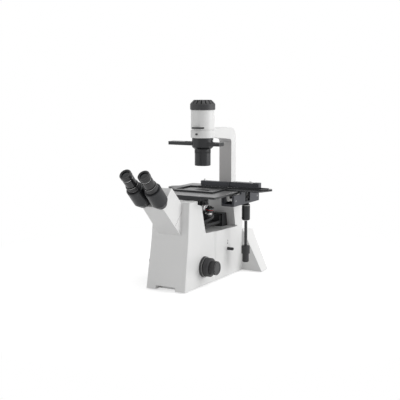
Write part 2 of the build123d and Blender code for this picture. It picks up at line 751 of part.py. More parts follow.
def prism_housing(side):
    """Arm with its hub, its prism channel and the body round the eyepiece axis."""
    hub_z = arm_hub_start(side)
    channel_z = channel_start(side)
    body = turned([
        (0, HUB_GAP),
        (ARM_R - ARM_ROUND, HUB_GAP),
        (ARM_R, HUB_GAP + 2 * ARM_ROUND),
        (ARM_R, ARM_END - 2),
        (ARM_R - 2, ARM_END),
        (0, ARM_END),
    ])
    body = Pos(ARM_RADIUS, 0, 0) * body
    hub = disc(HUB_R, hub_z, hub_z + HUB_THICK)
    hub = hub + block(0, ARM_RADIUS, -WEB_HALF, WEB_HALF, hub_z, hub_z + HUB_THICK)
    channel = disc(WEB_HALF, channel_z, channel_z + CHANNEL_THICK)
    channel = channel + block(0, ARM_RADIUS, -WEB_HALF, WEB_HALF, channel_z, channel_z + CHANNEL_THICK)
    body = body + hub + channel
    inside = disc(ARM_R - ARM_ROUND - ARM_WALL, HUB_GAP + ARM_WALL, ARM_END - 2 * ARM_WALL, ARM_RADIUS)
    half = PRISM_SIDE / 2 + SEAT_GAP
    middle = channel_z + CHANNEL_THICK / 2
    duct = block(-half - 2, ARM_RADIUS, -half, half, middle - half, middle + half)
    body = body - inside - duct
    body = body - disc(PIVOT_R + RUN_GAP, hub_z - 1, hub_z + HUB_THICK + 1)
    body = body - disc(PRISM_SIDE / 2, channel_z - 1, middle)
    body = body - disc(TUBE_R + RUN_GAP, TUBE_START, ARM_END + 1, ARM_RADIUS)
    body = body - disc(TUBE_R - 3, TUBE_START - 3, TUBE_START + 1, ARM_RADIUS)
    return arm_place(side) * body


def arm_prism(side):
    """Rhomboid prism that carries the light from the pivot to the eyepiece axis."""
    half = PRISM_SIDE / 2
    middle = channel_start(side) + CHANNEL_THICK / 2
    outline = polygon([
        (-half, middle - half),
        (ARM_RADIUS - half, middle - half),
        (ARM_RADIUS + half, middle + half),
        (half, middle + half),
    ])
    glass = Pos(0, half, 0) * extrude(Plane.XZ * outline, 2 * half, dir=(0, -1, 0))
    return arm_place(side) * glass


def at_eyepiece(side, shape):
    """Put a shape made about Z on an eyepiece axis."""
    return arm_place(side) * Pos(ARM_RADIUS, 0, 0) * shape


def eyepiece_tube(side):
    """Tube for the eyepiece, with a flange on the arm and a lip at its end."""
    flange = TUBE_R + 2.5
    bore = EYEPIECE_R + RUN_GAP
    profile = [
        (bore, TUBE_START),
        (TUBE_R, TUBE_START),
        (TUBE_R, ARM_END),
        (flange, ARM_END),
        (flange, ARM_END + 2),
        (TUBE_R, ARM_END + 2),
        (TUBE_R, TUBE_END - TUBE_LIP),
        (TUBE_LIP_R, TUBE_END - TUBE_LIP),
        (TUBE_LIP_R, TUBE_END),
        (bore, TUBE_END),
    ]
    return at_eyepiece(side, turned(profile))


def diopter_ring(side):
    """Ring that sets the focus of one eye."""
    start = ARM_END + 2 + SWING_GAP
    end = TUBE_END - TUBE_LIP - SWING_GAP
    grip = fluted(DIOPTER_R, start, end, DIOPTER_RIBS, 0.7)
    return at_eyepiece(side, grip - disc(TUBE_R + RUN_GAP, start, end))


def eyepiece(side):
    """Eyepiece with its barrel in the tube and a soft eyecup round the eye lens."""
    body_r = EYECUP_R - 0.8
    inner = LENS_R + SEAT_GAP
    profile = [
        (EYEPIECE_R - 2, TUBE_END - EYEPIECE_BARREL + 10),
        (EYEPIECE_R, TUBE_END - EYEPIECE_BARREL + 10),
        (EYEPIECE_R, TUBE_END),
        (body_r, TUBE_END),
        (body_r, EYEPIECE_END - 8),
        (body_r - 0.8, EYEPIECE_END - 8),
        (body_r - 0.8, EYEPIECE_END - 1),
        (EYECUP_R, EYEPIECE_END),
        (EYECUP_R, EYECUP_END - 1.5),
        (EYECUP_R - 1.5, EYECUP_END),
        (EYECUP_R - 4, EYECUP_END - 0.5),
        (inner, EYECUP_END - 2.5),
        (inner, EYECUP_END - 8),
        (EYEPIECE_R - 4, EYECUP_END - 8),
        (EYEPIECE_R - 2, TUBE_END),
    ]
    return at_eyepiece(side, turned(profile))


def eye_lens(side):
    """Glass that the eye looks into."""
    return at_eyepiece(side, lens(LENS_R, EYECUP_END - 7.5, EYECUP_END - 3.5, 0.8))


# Stage and its drive

def stage_plate():
    """Fixed stage, thicker where it stands on the pillars, with a well for the insert."""
    low = STAGE_Z - STAGE_THICK
    plate = block(-STAGE_HALF, STAGE_HALF, STAGE_FRONT_Y, STAGE_REAR_Y, low, STAGE_Z)
    plate = fillet(plate.edges().filter_by(Axis.Z), STAGE_CORNER_R)
    middle = block(-STAGE_BODY_HALF, STAGE_BODY_HALF, STAGE_FRONT_Y + 1, STAGE_REAR_Y - 1, PILLAR_TOP_Z, low)
    plate = plate + middle - disc(WELL_R, PILLAR_TOP_Z, STAGE_Z)
    plate = plate - disc(INSERT_R + SEAT_GAP, STAGE_Z - INSERT_THICK, STAGE_Z)
    return chamfer(plate.faces().sort_by(Axis.Z)[-1].outer_wire().edges(), 0.8)


def stage_insert():
    """Round insert with a dished opening over the objective."""
    low = STAGE_Z - INSERT_THICK
    dish = turned([
        (INSERT_HOLE_R, low),
        (INSERT_R, low),
        (INSERT_R, STAGE_Z),
        (INSERT_HOLE_R + 7, STAGE_Z),
        (INSERT_HOLE_R, low + 1),
    ])
    return dish


def guide_rail():
    """Rail under the stage, with the rack of the Y drive along its outer side."""
    top = STAGE_Z - STAGE_THICK
    rail = block(RAIL_X, RAIL_X + RAIL_WIDE, RAIL_Y0, RAIL_Y1, RAIL_Z, top)
    lip = block(RAIL_X - 3, RAIL_X + RAIL_WIDE, RAIL_Y0, RAIL_Y1, top - 4, top)
    pitch_x = DRIVE_X - PITCH_R
    teeth = int((RAIL_Y1 - RAIL_Y0) / TOOTH_PITCH)
    start = DRIVE_Y - TOOTH_PITCH * (int((DRIVE_Y - RAIL_Y0) / TOOTH_PITCH))
    bar = rack(teeth, pitch_x - RAIL_X - RAIL_WIDE, 6)
    bar = Pos(pitch_x, start, Y_PINION_Z + 0.5) * Rot(0, 0, 90) * bar
    return rail + lip + bar


def drive_housing():
    """Open channel that slides under the stage edge and carries both drive knobs."""
    channel = block(HOUSING_X0, HOUSING_X1, HOUSING_Y0, HOUSING_Y1, HOUSING_Z, HOUSING_TOP)
    hollow = block(HOUSING_X0 + 5, HOUSING_X1 - HOUSING_WALL, HOUSING_Y0, HOUSING_Y1,
                   HOUSING_Z + HOUSING_WALL, HOUSING_TOP)
    channel = channel - hollow
    top_wall = block(HOUSING_X1 - HOUSING_WALL, HOUSING_X1, RAISED_Y, HOUSING_Y1, HOUSING_TOP,
                     SLIDE_Z - SEAT_GAP)
    guide = block(HOUSING_X0 + 5, RAIL_X - RUN_GAP, HOUSING_Y0 + 4, HOUSING_Y1 - 4,
                  HOUSING_Z + HOUSING_WALL, STAGE_Z - STAGE_THICK - 4 - SWING_GAP)
    post = block(HOUSING_X1 - HOUSING_WALL, HOUSING_X1, SLIDE_Y1 + SWING_GAP, BRACKET_Y1,
                 SLIDE_Z - SEAT_GAP, BEAM_TOP)
    shelf = block(BRACKET_X0, HOUSING_X1, SLIDE_Y1 + SWING_GAP, BRACKET_Y1, SLIDE_Z, BEAM_TOP)
    body = channel + guide + top_wall + post + shelf
    slot = block(HOUSING_X1 - HOUSING_WALL - 1, HOUSING_X1, SLOT_Y0, SLOT_Y1,
                 HOUSING_Z + HOUSING_WALL, SLIDE_Z)
    shaft = disc(Y_SHAFT_R + RUN_GAP, HOUSING_Z, HOUSING_Z + HOUSING_WALL, DRIVE_X, DRIVE_Y)
    outer = body.edges().filter_by(Axis.Z).filter_by_position(Axis.X, HOUSING_X1 - 0.1, HOUSING_X1 + 0.1)
    return chamfer(outer, 1) - slot - shaft


def drive_tube():
    """Sleeve under the housing that the two drive shafts turn in."""
    profile = [
        (Y_SHAFT_R + RUN_GAP, DRIVE_TUBE_Z - 2),
        (DRIVE_TUBE_R - 2, DRIVE_TUBE_Z - 2),
        (DRIVE_TUBE_R - 2, DRIVE_TUBE_Z),
        (DRIVE_TUBE_R, DRIVE_TUBE_Z),
        (DRIVE_TUBE_R, HOUSING_Z - 6),
        (DRIVE_TUBE_R - 2, HOUSING_Z - 3),
        (DRIVE_TUBE_R - 4, HOUSING_Z),
        (Y_SHAFT_R + RUN_GAP, HOUSING_Z),
    ]
    return Pos(DRIVE_X, DRIVE_Y, 0) * turned(profile)


def y_knob():
    """Upper drive knob on the hollow shaft that moves the holder to and fro."""
    grip = fluted(Y_KNOB_R, Y_KNOB_Z, KNOB_TOP_Z - 2, 30, 0.7)
    collar = disc(Y_KNOB_R - 1, KNOB_TOP_Z - 2, KNOB_TOP_Z)
    shaft = disc(Y_SHAFT_R, KNOB_TOP_Z, Y_PINION_Z)
    gear = Rot(0, 0, 180) * Pos(0, 0, Y_PINION_Z) * pinion(7)
    bore = disc(X_SHAFT_R + RUN_GAP, Y_KNOB_Z, Y_PINION_Z + 7)
    return Pos(DRIVE_X, DRIVE_Y, 0) * (grip + collar + shaft + gear - bore)


def x_knob():
    """Lower drive knob on the inner shaft that moves the holder sideways."""
    grip = fluted(X_KNOB_R, X_KNOB_Z + 2, Y_KNOB_Z - SWING_GAP, 24, 0.7)
    tip = disc(X_KNOB_R - 1.5, X_KNOB_Z, X_KNOB_Z + 2)
    shaft = disc(X_SHAFT_R, Y_KNOB_Z - SWING_GAP, COVER_Z - SEAT_GAP)
    gear = Rot(0, 0, 90) * Pos(0, 0, SLIDE_Z) * pinion(SLIDE_THICK - SEAT_GAP)
    return Pos(DRIVE_X, DRIVE_Y, 0) * (grip + tip + shaft + gear)


def slide_lower():
    """Lower plate of the X slide, with the rack in its slot."""
    pitch_y = DRIVE_Y + PITCH_R
    outline = [
        (SLIDE_X0, SLIDE_Y0),
        (SLIDE_X1 - 2 * SLIDE_CORNER, SLIDE_Y0),
        (SLIDE_X1 - SLIDE_CORNER, SLIDE_Y0 + SLIDE_CORNER),
        (SLIDE_X1, SLIDE_Y1 - SLIDE_CORNER),
        (SLIDE_X1 - SLIDE_CORNER / 2, SLIDE_Y1),
        (SLIDE_X0, SLIDE_Y1),
    ]
    plate = plan_prism(outline, SLIDE_Z, COVER_Z)
    slot_x1 = DRIVE_X + X_TRAVEL_LEFT + PITCH_R + 2
    slot = block(SLIDE_X0, slot_x1, pitch_y - RACK_SLOT_WIDE, pitch_y + 1.2 * GEAR_MODULE, SLIDE_Z, COVER_Z)
    reach = DRIVE_X - SLIDE_X0
    start = DRIVE_X - TOOTH_PITCH * int(reach / TOOTH_PITCH)
    teeth = int((slot_x1 - start) / TOOTH_PITCH)
    bar = Pos(start, pitch_y, SLIDE_Z) * rack(teeth, 2 * GEAR_MODULE, SLIDE_THICK)
    return plate - slot + bar


def slide_upper():
    """Upper plate of the X slide, with the rib that runs in the guide beam."""
    outline = [
        (COVER_X0, COVER_Y0),
        (SLIDE_X1 - 2 * SLIDE_CORNER, COVER_Y0),
        (SLIDE_X1 - SLIDE_CORNER / 2, COVER_Y0 + SLIDE_CORNER / 2),
        (SLIDE_X1, SLIDE_Y1 - SLIDE_CORNER),
        (SLIDE_X1 - SLIDE_CORNER / 2, SLIDE_Y1),
        (COVER_X0, SLIDE_Y1),
    ]
    top = COVER_Z + SLIDE_THICK
    middle = (BEAM_Y0 + BEAM_Y1) / 2
    rib = block(COVER_X0, SLIDE_X1 - SLIDE_CORNER, middle - RIB_HALF, middle + RIB_HALF, top, top + RIB_TALL)
    return plan_prism(outline, COVER_Z, top) + rib


def x_slide():
    """X slide in two levels, which carries the holder past the guide beam."""
    return slide_lower() + slide_upper()


def specimen_holder():
    """Frame with a pocket for a microplate and a pointed tab on the left."""
    top = SLIDE_Z + HOLDER_THICK
    frame = block(HOLDER_X0, HOLDER_X1, HOLDER_Y0, HOLDER_Y1, SLIDE_Z, top)
    tab = plan_prism([
        (HOLDER_X0 + 28, HOLDER_Y0),
        (TAB_TIP_X, -12),
        (TAB_TIP_X, 10),
        (HOLDER_X0 - 11, 34),
        (HOLDER_X0 + 3, 34),
    ], SLIDE_Z, top)
    half_x = PLATE_LONG / 2
    half_y = PLATE_WIDE / 2
    pocket = block(PLATE_X - half_x, PLATE_X + half_x, -half_y, half_y, SLIDE_Z, top)
    pocket = fillet(pocket.edges().filter_by(Axis.Z), 3)
    seat_half_x = half_x - 2
    seat = block(PLATE_X - half_x, PLATE_X + half_x, -half_y, half_y, SLIDE_Z, SLIDE_Z + 1)
    seat = seat - block(PLATE_X - seat_half_x, PLATE_X + seat_half_x, -half_y + 2, half_y - 2, SLIDE_Z, top)
    under_cover = block(COVER_X0 - SWING_GAP, HOLDER_X1, COVER_Y0 - SWING_GAP, HOLDER_Y1, COVER_Z, top)
    return frame + tab - pocket + (seat & frame) - under_cover


def holder_clip():
    """Sprung finger that presses the specimen into its corner."""
    base = COVER_Z + SLIDE_THICK
    post = disc(3, base, base + 4, CLIP_X, CLIP_Y)
    finger = plan_prism([
        (CLIP_X - 3, CLIP_Y),
        (CLIP_X + 3, CLIP_Y),
        (CLIP_X + 8, CLIP_Y - 14),
        (CLIP_X + 5, CLIP_Y - 18),
        (CLIP_X + 2, CLIP_Y - 14),
    ], base + 1, base + 3)
    return post + finger


def guide_beam():
    """Two-part beam over the slide, grooved underneath for its rib."""
    left = block(BEAM_X0, BEAM_SPLIT, BEAM_Y0, BEAM_Y1, BEAM_Z, BEAM_TOP)
    right = block(BEAM_SPLIT + 3, END_BLOCK_X, BEAM_Y0, BEAM_Y1, BEAM_Z, BEAM_TOP + BEAM_STEP)
    bridge = block(BEAM_SPLIT, BEAM_SPLIT + 3, BEAM_Y0 + 1, BEAM_Y1 - 1, BEAM_Z, BEAM_TOP - 2)
    end = block(END_BLOCK_X, BEAM_X1, BEAM_Y0, BEAM_Y1, BEAM_Z, END_BLOCK_TOP)
    middle = (BEAM_Y0 + BEAM_Y1) / 2
    groove_half = RIB_HALF + 2 * RUN_GAP
    groove_top = COVER_Z + SLIDE_THICK + RIB_TALL + SWING_GAP
    groove = block(BEAM_X0, BEAM_X1, middle - groove_half, middle + groove_half, BEAM_Z, groove_top)
    strap = block(BRACKET_X0, HOUSING_X1, BEAM_Y1, SLIDE_Y1 + SWING_GAP, BEAM_Z, BEAM_TOP)
    return left + right + bridge + end + strap - groove


def guide_screws():
    """Two knurled screws on top of the beam."""
    one = fluted(THUMB_R, 0, THUMB_TALL, 12, 0.35)
    middle = (BEAM_Y0 + BEAM_Y1) / 2
    left = Pos(BEAM_X0 + 9, middle, BEAM_TOP) * one
    right = Pos(HOUSING_X1 - 2, middle, BEAM_TOP + BEAM_STEP) * one
    return Compound(children=[left, right])


# Nosepiece and focus

def station(index):
    """Frame of an objective seat, +Z along the objective."""
    step = Rot(0, 0, 360 * index / STATIONS)
    return TURRET * step * Pos(0, STATION_R, 0) * Rot(-TURRET_TILT, 0, 0)


def turret():
    """Revolving nosepiece with five threaded seats and a knurled rim."""
    fall = tan(CONE)
    inner = STATION_R - THREAD_R - 6
    rim = TURRET_R - STATION_R
    body = turned([
        (0, inner * 0.2),
        (12, inner * 0.25),
        (inner, (STATION_R - inner) * fall),
        (TURRET_R, -rim * fall),
        (TURRET_R, -TURRET_THICK + 5),
        (TURRET_R - 3, -TURRET_THICK + 3),
        (22, -TURRET_THICK),
        (0, -TURRET_THICK),
    ])
    grip = disc(0.8, -TURRET_THICK + 5, -rim * fall - 1, TURRET_R + 0.3)
    body = body - [Rot(0, 0, 360 * k / KNOB_FLUTES) * grip for k in range(KNOB_FLUTES)]
    body = TURRET * (body - disc(6 + RUN_GAP, -TURRET_THICK, -5))
    return body - [station(k) * disc(THREAD_R, -30, 2) for k in range(STATIONS)]


def objective(length, radius):
    """Objective lens with its shoulder, barrel and tapered nose."""
    profile = [
        (THREAD_R - 2, -5),
        (THREAD_R, -5),
        (THREAD_R, 0),
        (THREAD_R + 2, 0),
        (THREAD_R + 2, 2.5),
        (THREAD_R - 0.5, 3),
        (THREAD_R - 0.5, 0.26 * length),
        (radius, 0.32 * length),
        (radius, 0.86 * length),
        (0.6 * radius, length - 1),
        (0.5 * radius, length),
        (0.3 * radius, length),
        (0.3 * radius, length - 6),
        (THREAD_R - 2, 4),
    ]
    return turned(profile)


def objectives():
    """Five objectives with their front lenses, the longest standing on the optical axis."""
    group = []
    for index in range(STATIONS):
        length = OBJECTIVE_LENGTHS[index]
        radius = OBJECTIVE_RADII[index]
        group.append(station(index) * objective(length, radius))
        group.append(station(index) * disc(0.3 * radius - RUN_GAP, length - 4, length - 0.5))
    return Compound(children=group)


def carriage():
    """Focus carriage: plate under the turret, guide tongue behind, leg with the rack."""
    low = CARRIAGE_Z
    high = CARRIAGE_Z + CARRIAGE_THICK
    half = CARRIAGE_HALF
    leg_x1 = FOCUS_RACK_X + FOCUS_RACK_WIDTH
    leg_y1 = LEG_Y + LEG_DEEP
    plate = plan_prism([
        (-half, GUIDE_Y - RUN_GAP),
        (half, GUIDE_Y - RUN_GAP),
        (half, -half),
        (leg_x1, -2 * half),
        (leg_x1, LEG_Y),
        (FOCUS_RACK_X, LEG_Y),
        (half / 2, -2 * half),
        (-half / 2, -2 * half),
        (-half, -1.5 * half),
    ], low, high)
    upright = block(-half, half, GUIDE_Y - 9, GUIDE_Y - RUN_GAP, high, GUIDE_TOP - 3)
    tongue = block(-TONGUE_HALF, TONGUE_HALF, GUIDE_Y - RUN_GAP, GUIDE_Y + TONGUE_DEEP, low, GUIDE_TOP - 3)
    boss = TURRET * disc(10, -TURRET_THICK - 30, -TURRET_THICK - SWING_GAP)
    boss = boss & block(-half, half, -2 * half, half, low, TURRET_Z)
    pin = TURRET * disc(6, -TURRET_THICK - 1, -6)
    leg = block(FOCUS_RACK_X, leg_x1, LEG_Y, leg_y1, FOCUS_Z - 20, low)
    rack_y = FOCUS_Y + PITCH_R
    foot = block(FOCUS_RACK_X, leg_x1, rack_y + 1.2 * GEAR_MODULE, LEG_Y, FOCUS_Z - 20, FOCUS_Z + 26)
    start = FOCUS_Z - TOOTH_PITCH * (FOCUS_RACK_TEETH // 2)
    bar = Rot(0, -90, 0) * rack(FOCUS_RACK_TEETH, 3, FOCUS_RACK_WIDTH)
    bar = Pos(leg_x1, rack_y, start) * bar
    return plate + upright + tongue + boss + pin + leg + foot + bar - disc(LIGHT_BORE_R, low, high)


def guide_block():
    """Fixed guide for the carriage, seated on the floor against the rear pillar."""
    body = block(-GUIDE_HALF, GUIDE_HALF, GUIDE_Y, FLOOR_REAR_Y, FLOOR_REAR_Z - 1, GUIDE_TOP)
    half = TONGUE_HALF + RUN_GAP
    groove = block(-half, half, GUIDE_Y, GUIDE_Y + TONGUE_DEEP + SWING_GAP, FLOOR_REAR_Z - 1, GUIDE_TOP)
    return (body & opening_form(0)) - groove


def focus_shaft():
    """Hollow coarse shaft with the pinion that drives the rack."""
    reach = FOCUS_WALL_X + COLLAR_LENGTH + COARSE_LENGTH - 3
    gear = Pos(0, 0, reach + FOCUS_RACK_X) * Rot(0, 0, 90) * pinion(FOCUS_RACK_WIDTH)
    shaft = disc(COARSE_SHAFT_R, 0, 2 * reach) + gear
    return across(shaft - disc(FINE_SHAFT_R + RUN_GAP, 0, 2 * reach), -reach, FOCUS_Y, FOCUS_Z)


def tension_collars():
    """Bush and collar of the coarse drive on each wall."""
    profile = [
        (COARSE_SHAFT_R + RUN_GAP, -2 * STAND_WALL),
        (BUSH_R, -2 * STAND_WALL),
        (BUSH_R, 0),
        (COLLAR_R, 0),
        (COLLAR_R, COLLAR_LENGTH - 2),
        (COLLAR_R - 1.5, COLLAR_LENGTH - SWING_GAP),
        (COARSE_SHAFT_R + RUN_GAP, COLLAR_LENGTH - SWING_GAP),
    ]
    right = across(turned(profile), FOCUS_WALL_X, FOCUS_Y, FOCUS_Z)
    return Compound(children=[right, mirrored(right)])


def coarse_knobs():
    """Coarse focus knob on each side, dished for the fine knob."""
    length = COARSE_LENGTH
    grip = fluted(COARSE_R, 1.5, length - 2, KNOB_FLUTES, 0.9)
    back = disc(COARSE_R - 1.5, 0, 1.5)
    front = turned([(0, length - 2), (COARSE_R - 0.8, length - 2), (COARSE_R - 2.5, length), (0, length)])
    body = grip + back + front - disc(FINE_R - 2, length - 3, length)
    body = body - disc(COARSE_SHAFT_R, 0, length - 3) - disc(FINE_SHAFT_R + RUN_GAP, length - 3, length)
    right = across(body, FOCUS_WALL_X + COLLAR_LENGTH, FOCUS_Y, FOCUS_Z)
    return Compound(children=[right, mirrored(right)])


def fine_knobs():
    """Fine focus knob on each side, and the inner shaft that joins them."""
    length = FINE_LENGTH
    grip = fluted(FINE_R, SWING_GAP, length - 2, KNOB_FLUTES, 0.7)
    front = turned([(0, length - 2), (FINE_R - 0.8, length - 2), (FINE_R - 2.2, length), (0, length)])
    body = grip + front - disc(FINE_SHAFT_R, 0, 10)
    body = body - disc(FINE_R - 6, length - 0.6, length)
    start = FOCUS_WALL_X + COLLAR_LENGTH + COARSE_LENGTH
    right = across(body, start, FOCUS_Y, FOCUS_Z)
    shaft = across(disc(FINE_SHAFT_R, 0, 2 * start + 20), -start - 10, FOCUS_Y, FOCUS_Z)
    return Compound(children=[right, mirrored(right), shaft])


# Illumination arm, lamp and condenser

def illumination_arm():
    """Column and arm in one casting, with the ring that carries lamp and condenser."""
    outline = polygon([
        (COLUMN_Y, COLUMN_Z),
        (REAR_Y, COLUMN_Z),
        (REAR_Y, ARM_TOP),
        (0, ARM_TOP),
        (0, ARM_UNDER_FRONT),
        (RING_R, ARM_UNDER_FRONT),
        (COLUMN_Y, ARM_UNDER_REAR),
    ])
    outline = fillet(outline.vertices().sort_by_distance((REAR_Y, ARM_TOP, 0))[0], ARM_REAR_R)
    outline = fillet(outline.vertices().sort_by_distance((COLUMN_Y, ARM_UNDER_REAR, 0))[0], ARM_INNER_R)
    body = side_prism(outline, -ARM_HALF, ARM_HALF)
    collar = disc(RING_R, RING_Z0, RING_Z1)
    body = body - disc(RING_R - 1, RING_Z1, ARM_TOP) - disc(RING_R - 1, RING_Z0 - 1, RING_Z0) + collar
    body = body - disc(LAMP_R + 1.2, RING_Z1, ARM_TOP + 1)
    body = body - disc(RING_BORE, RING_Z0 - 1, RING_Z1)
    facet = Rot(0, 0, FACET_TURN) * block(RING_FLAT, RING_R + 1, -RING_R, RING_R, RING_Z0, RING_Z1)
    hollow = block(-ARM_HALF + STAND_WALL, ARM_HALF - STAND_WALL, COLUMN_Y + STAND_WALL, REAR_Y - STAND_WALL,
                   COLUMN_Z, ARM_UNDER_REAR)
    return body - facet - hollow - clamp_shank(*LAMP_CLAMP)


def lamp_housing():
    """White drum of the lamp, open at the top, with a spigot in the ring."""
    spigot = ring(RING_BORE - RUN_GAP, RING_BORE - 4, RING_Z0 + 8, LAMP_Z)
    drum = disc(LAMP_R, LAMP_Z, CAP_Z) - disc(LAMP_R - LAMP_WALL, LAMP_Z + 8, CAP_Z)
    body = drum + spigot + ring(LAMP_R - 3, RING_BORE - 4, RING_Z1, LAMP_Z)
    body = body - disc(RING_BORE - 4, LAMP_Z - 1, LAMP_Z + 8)
    floor = DIAPHRAGM_Z
    sweep_slot = ring(LAMP_R + 1, RING_BORE - 5, floor, floor + DIAPHRAGM_TALL + SWING_GAP)
    half = LEVER_HALF + LAMP_R * sin(radians(LEVER_SWING)) + SWING_GAP
    window = Rot(0, 0, -90) * block(0, LAMP_R + 2, -half, half, floor, CAP_Z)
    return body - (sweep_slot & window)


def field_diaphragm():
    """Iris ring with the lever that sticks out of the drum."""
    low = DIAPHRAGM_Z + SWING_GAP / 2
    high = DIAPHRAGM_Z + DIAPHRAGM_TALL + SWING_GAP / 2
    rim = ring(RING_BORE - 4 - RUN_GAP, RING_BORE - 10, low, high)
    lever = block(RING_BORE - 7, LAMP_R + 3, -LEVER_HALF, LEVER_HALF, low, high)
    tip = ring(LAMP_R + 9, LAMP_R + 1, low, high)
    lever = lever + (tip & block(LAMP_R, LAMP_R + 9, -LEVER_HALF, LEVER_HALF, low, high))
    return Rot(0, 0, -90) * (rim + lever)


def lamp_cap():
    """Ventilated cap, chamfered in two steps, with radial slots."""
    wall = LAMP_WALL
    body = turned([
        (LAMP_R - wall - SEAT_GAP, CAP_Z - 4),
        (LAMP_R - wall - SEAT_GAP, CAP_Z),
        (CAP_R, CAP_Z),
        (CAP_R, CAP_Z + 16),
        (CAP_R - 3, CAP_TOP - 8),
        (CAP_TOP_R + 3, CAP_TOP),
        (0, CAP_TOP),
        (0, CAP_TOP - wall),
        (CAP_TOP_R + 2, CAP_TOP - wall),
        (CAP_R - 3 - wall, CAP_TOP - 8 - wall),
        (CAP_R - 2 * wall - SEAT_GAP, CAP_Z + 4),
        (CAP_R - 2 * wall - 3, CAP_Z - 4),
    ])
    slot = block(CAP_TOP_R + 2, CAP_R - 1, -1.6, 1.6, CAP_TOP - 12, CAP_TOP)
    return body - [Rot(0, 0, 360 * k / CAP_SLOTS) * slot for k in range(CAP_SLOTS)]


def lamp_socket():
    """Ceramic lamp holder on a bridge across the drum."""
    high = CAP_Z - 8
    half = LAMP_R - LAMP_WALL - SEAT_GAP
    bridge = block(-8, 8, -half + 2, half - 2, high, high + 3)
    holder = disc(SOCKET_R, high - 10, high)
    ends = block(-8, 8, -half, half, high, high + 3) & disc(half, high, high + 3)
    pins = disc(0.8, high - 14, high - 10, 3) + disc(0.8, high - 14, high - 10, -3)
    return bridge + ends + holder - disc(5, high - 10, high - 4)


def halogen_bulb():
    """Small capsule lamp with its base in the holder."""
    high = CAP_Z - 8
    base = disc(5 - RUN_GAP, high - 12, high - 4)
    glass = disc(4.5, high - 22, high - 12) + Pos(0, 0, high - 22) * Sphere(4.5)
    return base + glass


def collector_lens():
    """Lens under the lamp that fills the condenser with light."""
    low = LAMP_Z + 8
    return lens(LAMP_R - LAMP_WALL - SEAT_GAP, low, low + 10, 3)


def condenser_holder():
    """Wide upper part of the condenser, slotted for the phase slider."""
    bore = CONDENSER_BORE
    body = turned([
        (bore, HOLDER_Z),
        (CONDENSER_R + 1, HOLDER_Z),
        (HOLDER_R, HOLDER_BREAK + 2),
        (HOLDER_R, RING_Z0 - 1),
        (HOLDER_R - 1, RING_Z0),
        (RING_BORE - RUN_GAP, RING_Z0),
        (RING_BORE - RUN_GAP, RING_Z0 + 7.5),
        (bore, RING_Z0 + 7.5),
    ])
    slot = block(-HOLDER_R - 1, HOLDER_R + 1, -PHASE_HALF - 2 * RUN_GAP, PHASE_HALF + 2 * RUN_GAP,
                 PHASE_Z - 2 * RUN_GAP, PHASE_Z + PHASE_TALL + 2 * RUN_GAP)
    neck = disc(CONDENSER_R - 1.5 + RUN_GAP, HOLDER_Z, HOLDER_Z + 6)
    return body - slot - neck - clamp_shank(*CONDENSER_CLAMP)


def condenser_barrel():
    """Lower tube of the condenser, screwed into the holder."""
    neck = CONDENSER_R - 1.5
    return turned([
        (CONDENSER_BORE, CONDENSER_Z),
        (CONDENSER_R - 1, CONDENSER_Z),
        (CONDENSER_R, CONDENSER_Z + 1),
        (CONDENSER_R, HOLDER_Z),
        (neck, HOLDER_Z),
        (neck, HOLDER_Z + 5.5),
        (CONDENSER_BORE, HOLDER_Z + 5.5),
    ])


def condenser_lens():
    """Lens at the lower end of the condenser."""
    return lens(CONDENSER_BORE - RUN_GAP, CONDENSER_Z + 2, CONDENSER_Z + 12, 2.5)


def phase_slider():
    """Long slider through the condenser with two round apertures."""
    centre = -PHASE_PITCH / 2
    x0 = centre - PHASE_LONG / 2
    x1 = centre + PHASE_LONG / 2
    bar = block(x0, x1, -PHASE_HALF, PHASE_HALF, PHASE_Z, PHASE_Z + PHASE_TALL)
    bar = fillet(bar.edges().filter_by(Axis.Z), 3)
    for x in (0, -PHASE_PITCH):
        bar = bar - disc(PHASE_APERTURE, PHASE_Z, PHASE_Z + PHASE_TALL, x)
        bar = bar + ring(PHASE_APERTURE, PHASE_APERTURE - 1.5, PHASE_Z, PHASE_Z + 3, x)
    return bar


def phase_annuli():
    """Glass discs in the slider, each seated on a ledge."""
    radius = PHASE_APERTURE - RUN_GAP
    return Compound(children=[disc(radius, PHASE_Z + 3, PHASE_Z + 6, x) for x in (0, -PHASE_PITCH)])


def clamp_shank(turn, height, reach):
    """Shank of a clamp screw that points outwards from the optical axis."""
    return Rot(0, 0, turn) * Pos(0, 0, height) * Rot(0, 90, 0) * disc(CLAMP_R, reach - 4, reach)


def clamp_screws():
    """Bright screws that clamp the lamp and the condenser."""
    group = []
    for turn, height, reach in (LAMP_CLAMP, CONDENSER_CLAMP):
        head = Rot(0, 0, turn) * Pos(0, 0, height) * Rot(0, 90, 0) * fluted(2 * CLAMP_R, reach, reach + 4, 12, 0.3)
        group.append(head + clamp_shank(turn, height, reach))
    return Compound(children=group)


SINGLE_PARTS = (
    stand_casting, base_plate, rubber_feet, head_housing, pivot_tube, tube_lens, base_mirror,
    prism_bracket, prism_slide, beam_prism, selector_rod, camera_port, power_inlet, power_switch,
    brightness_dial, stage_plate, stage_insert, guide_rail, drive_housing, drive_tube, y_knob, x_knob,
    x_slide, specimen_holder, holder_clip, guide_beam, guide_screws, turret, objectives, carriage,
    guide_block, focus_shaft, tension_collars, coarse_knobs, fine_knobs, illumination_arm, lamp_housing,
    field_diaphragm, lamp_cap, lamp_socket, halogen_bulb, collector_lens, condenser_holder,
    condenser_barrel, condenser_lens, phase_slider, phase_annuli, clamp_screws,
)
PAIRED_PARTS = (prism_housing, arm_prism, eyepiece_tube, diopter_ring, eyepiece, eye_lens)

for make in SINGLE_PARTS:
    save(make.__name__, make())
for make in PAIRED_PARTS:
    save(f"left_{make.__name__}", make(-1))
    save(f"right_{make.__name__}", make(1))
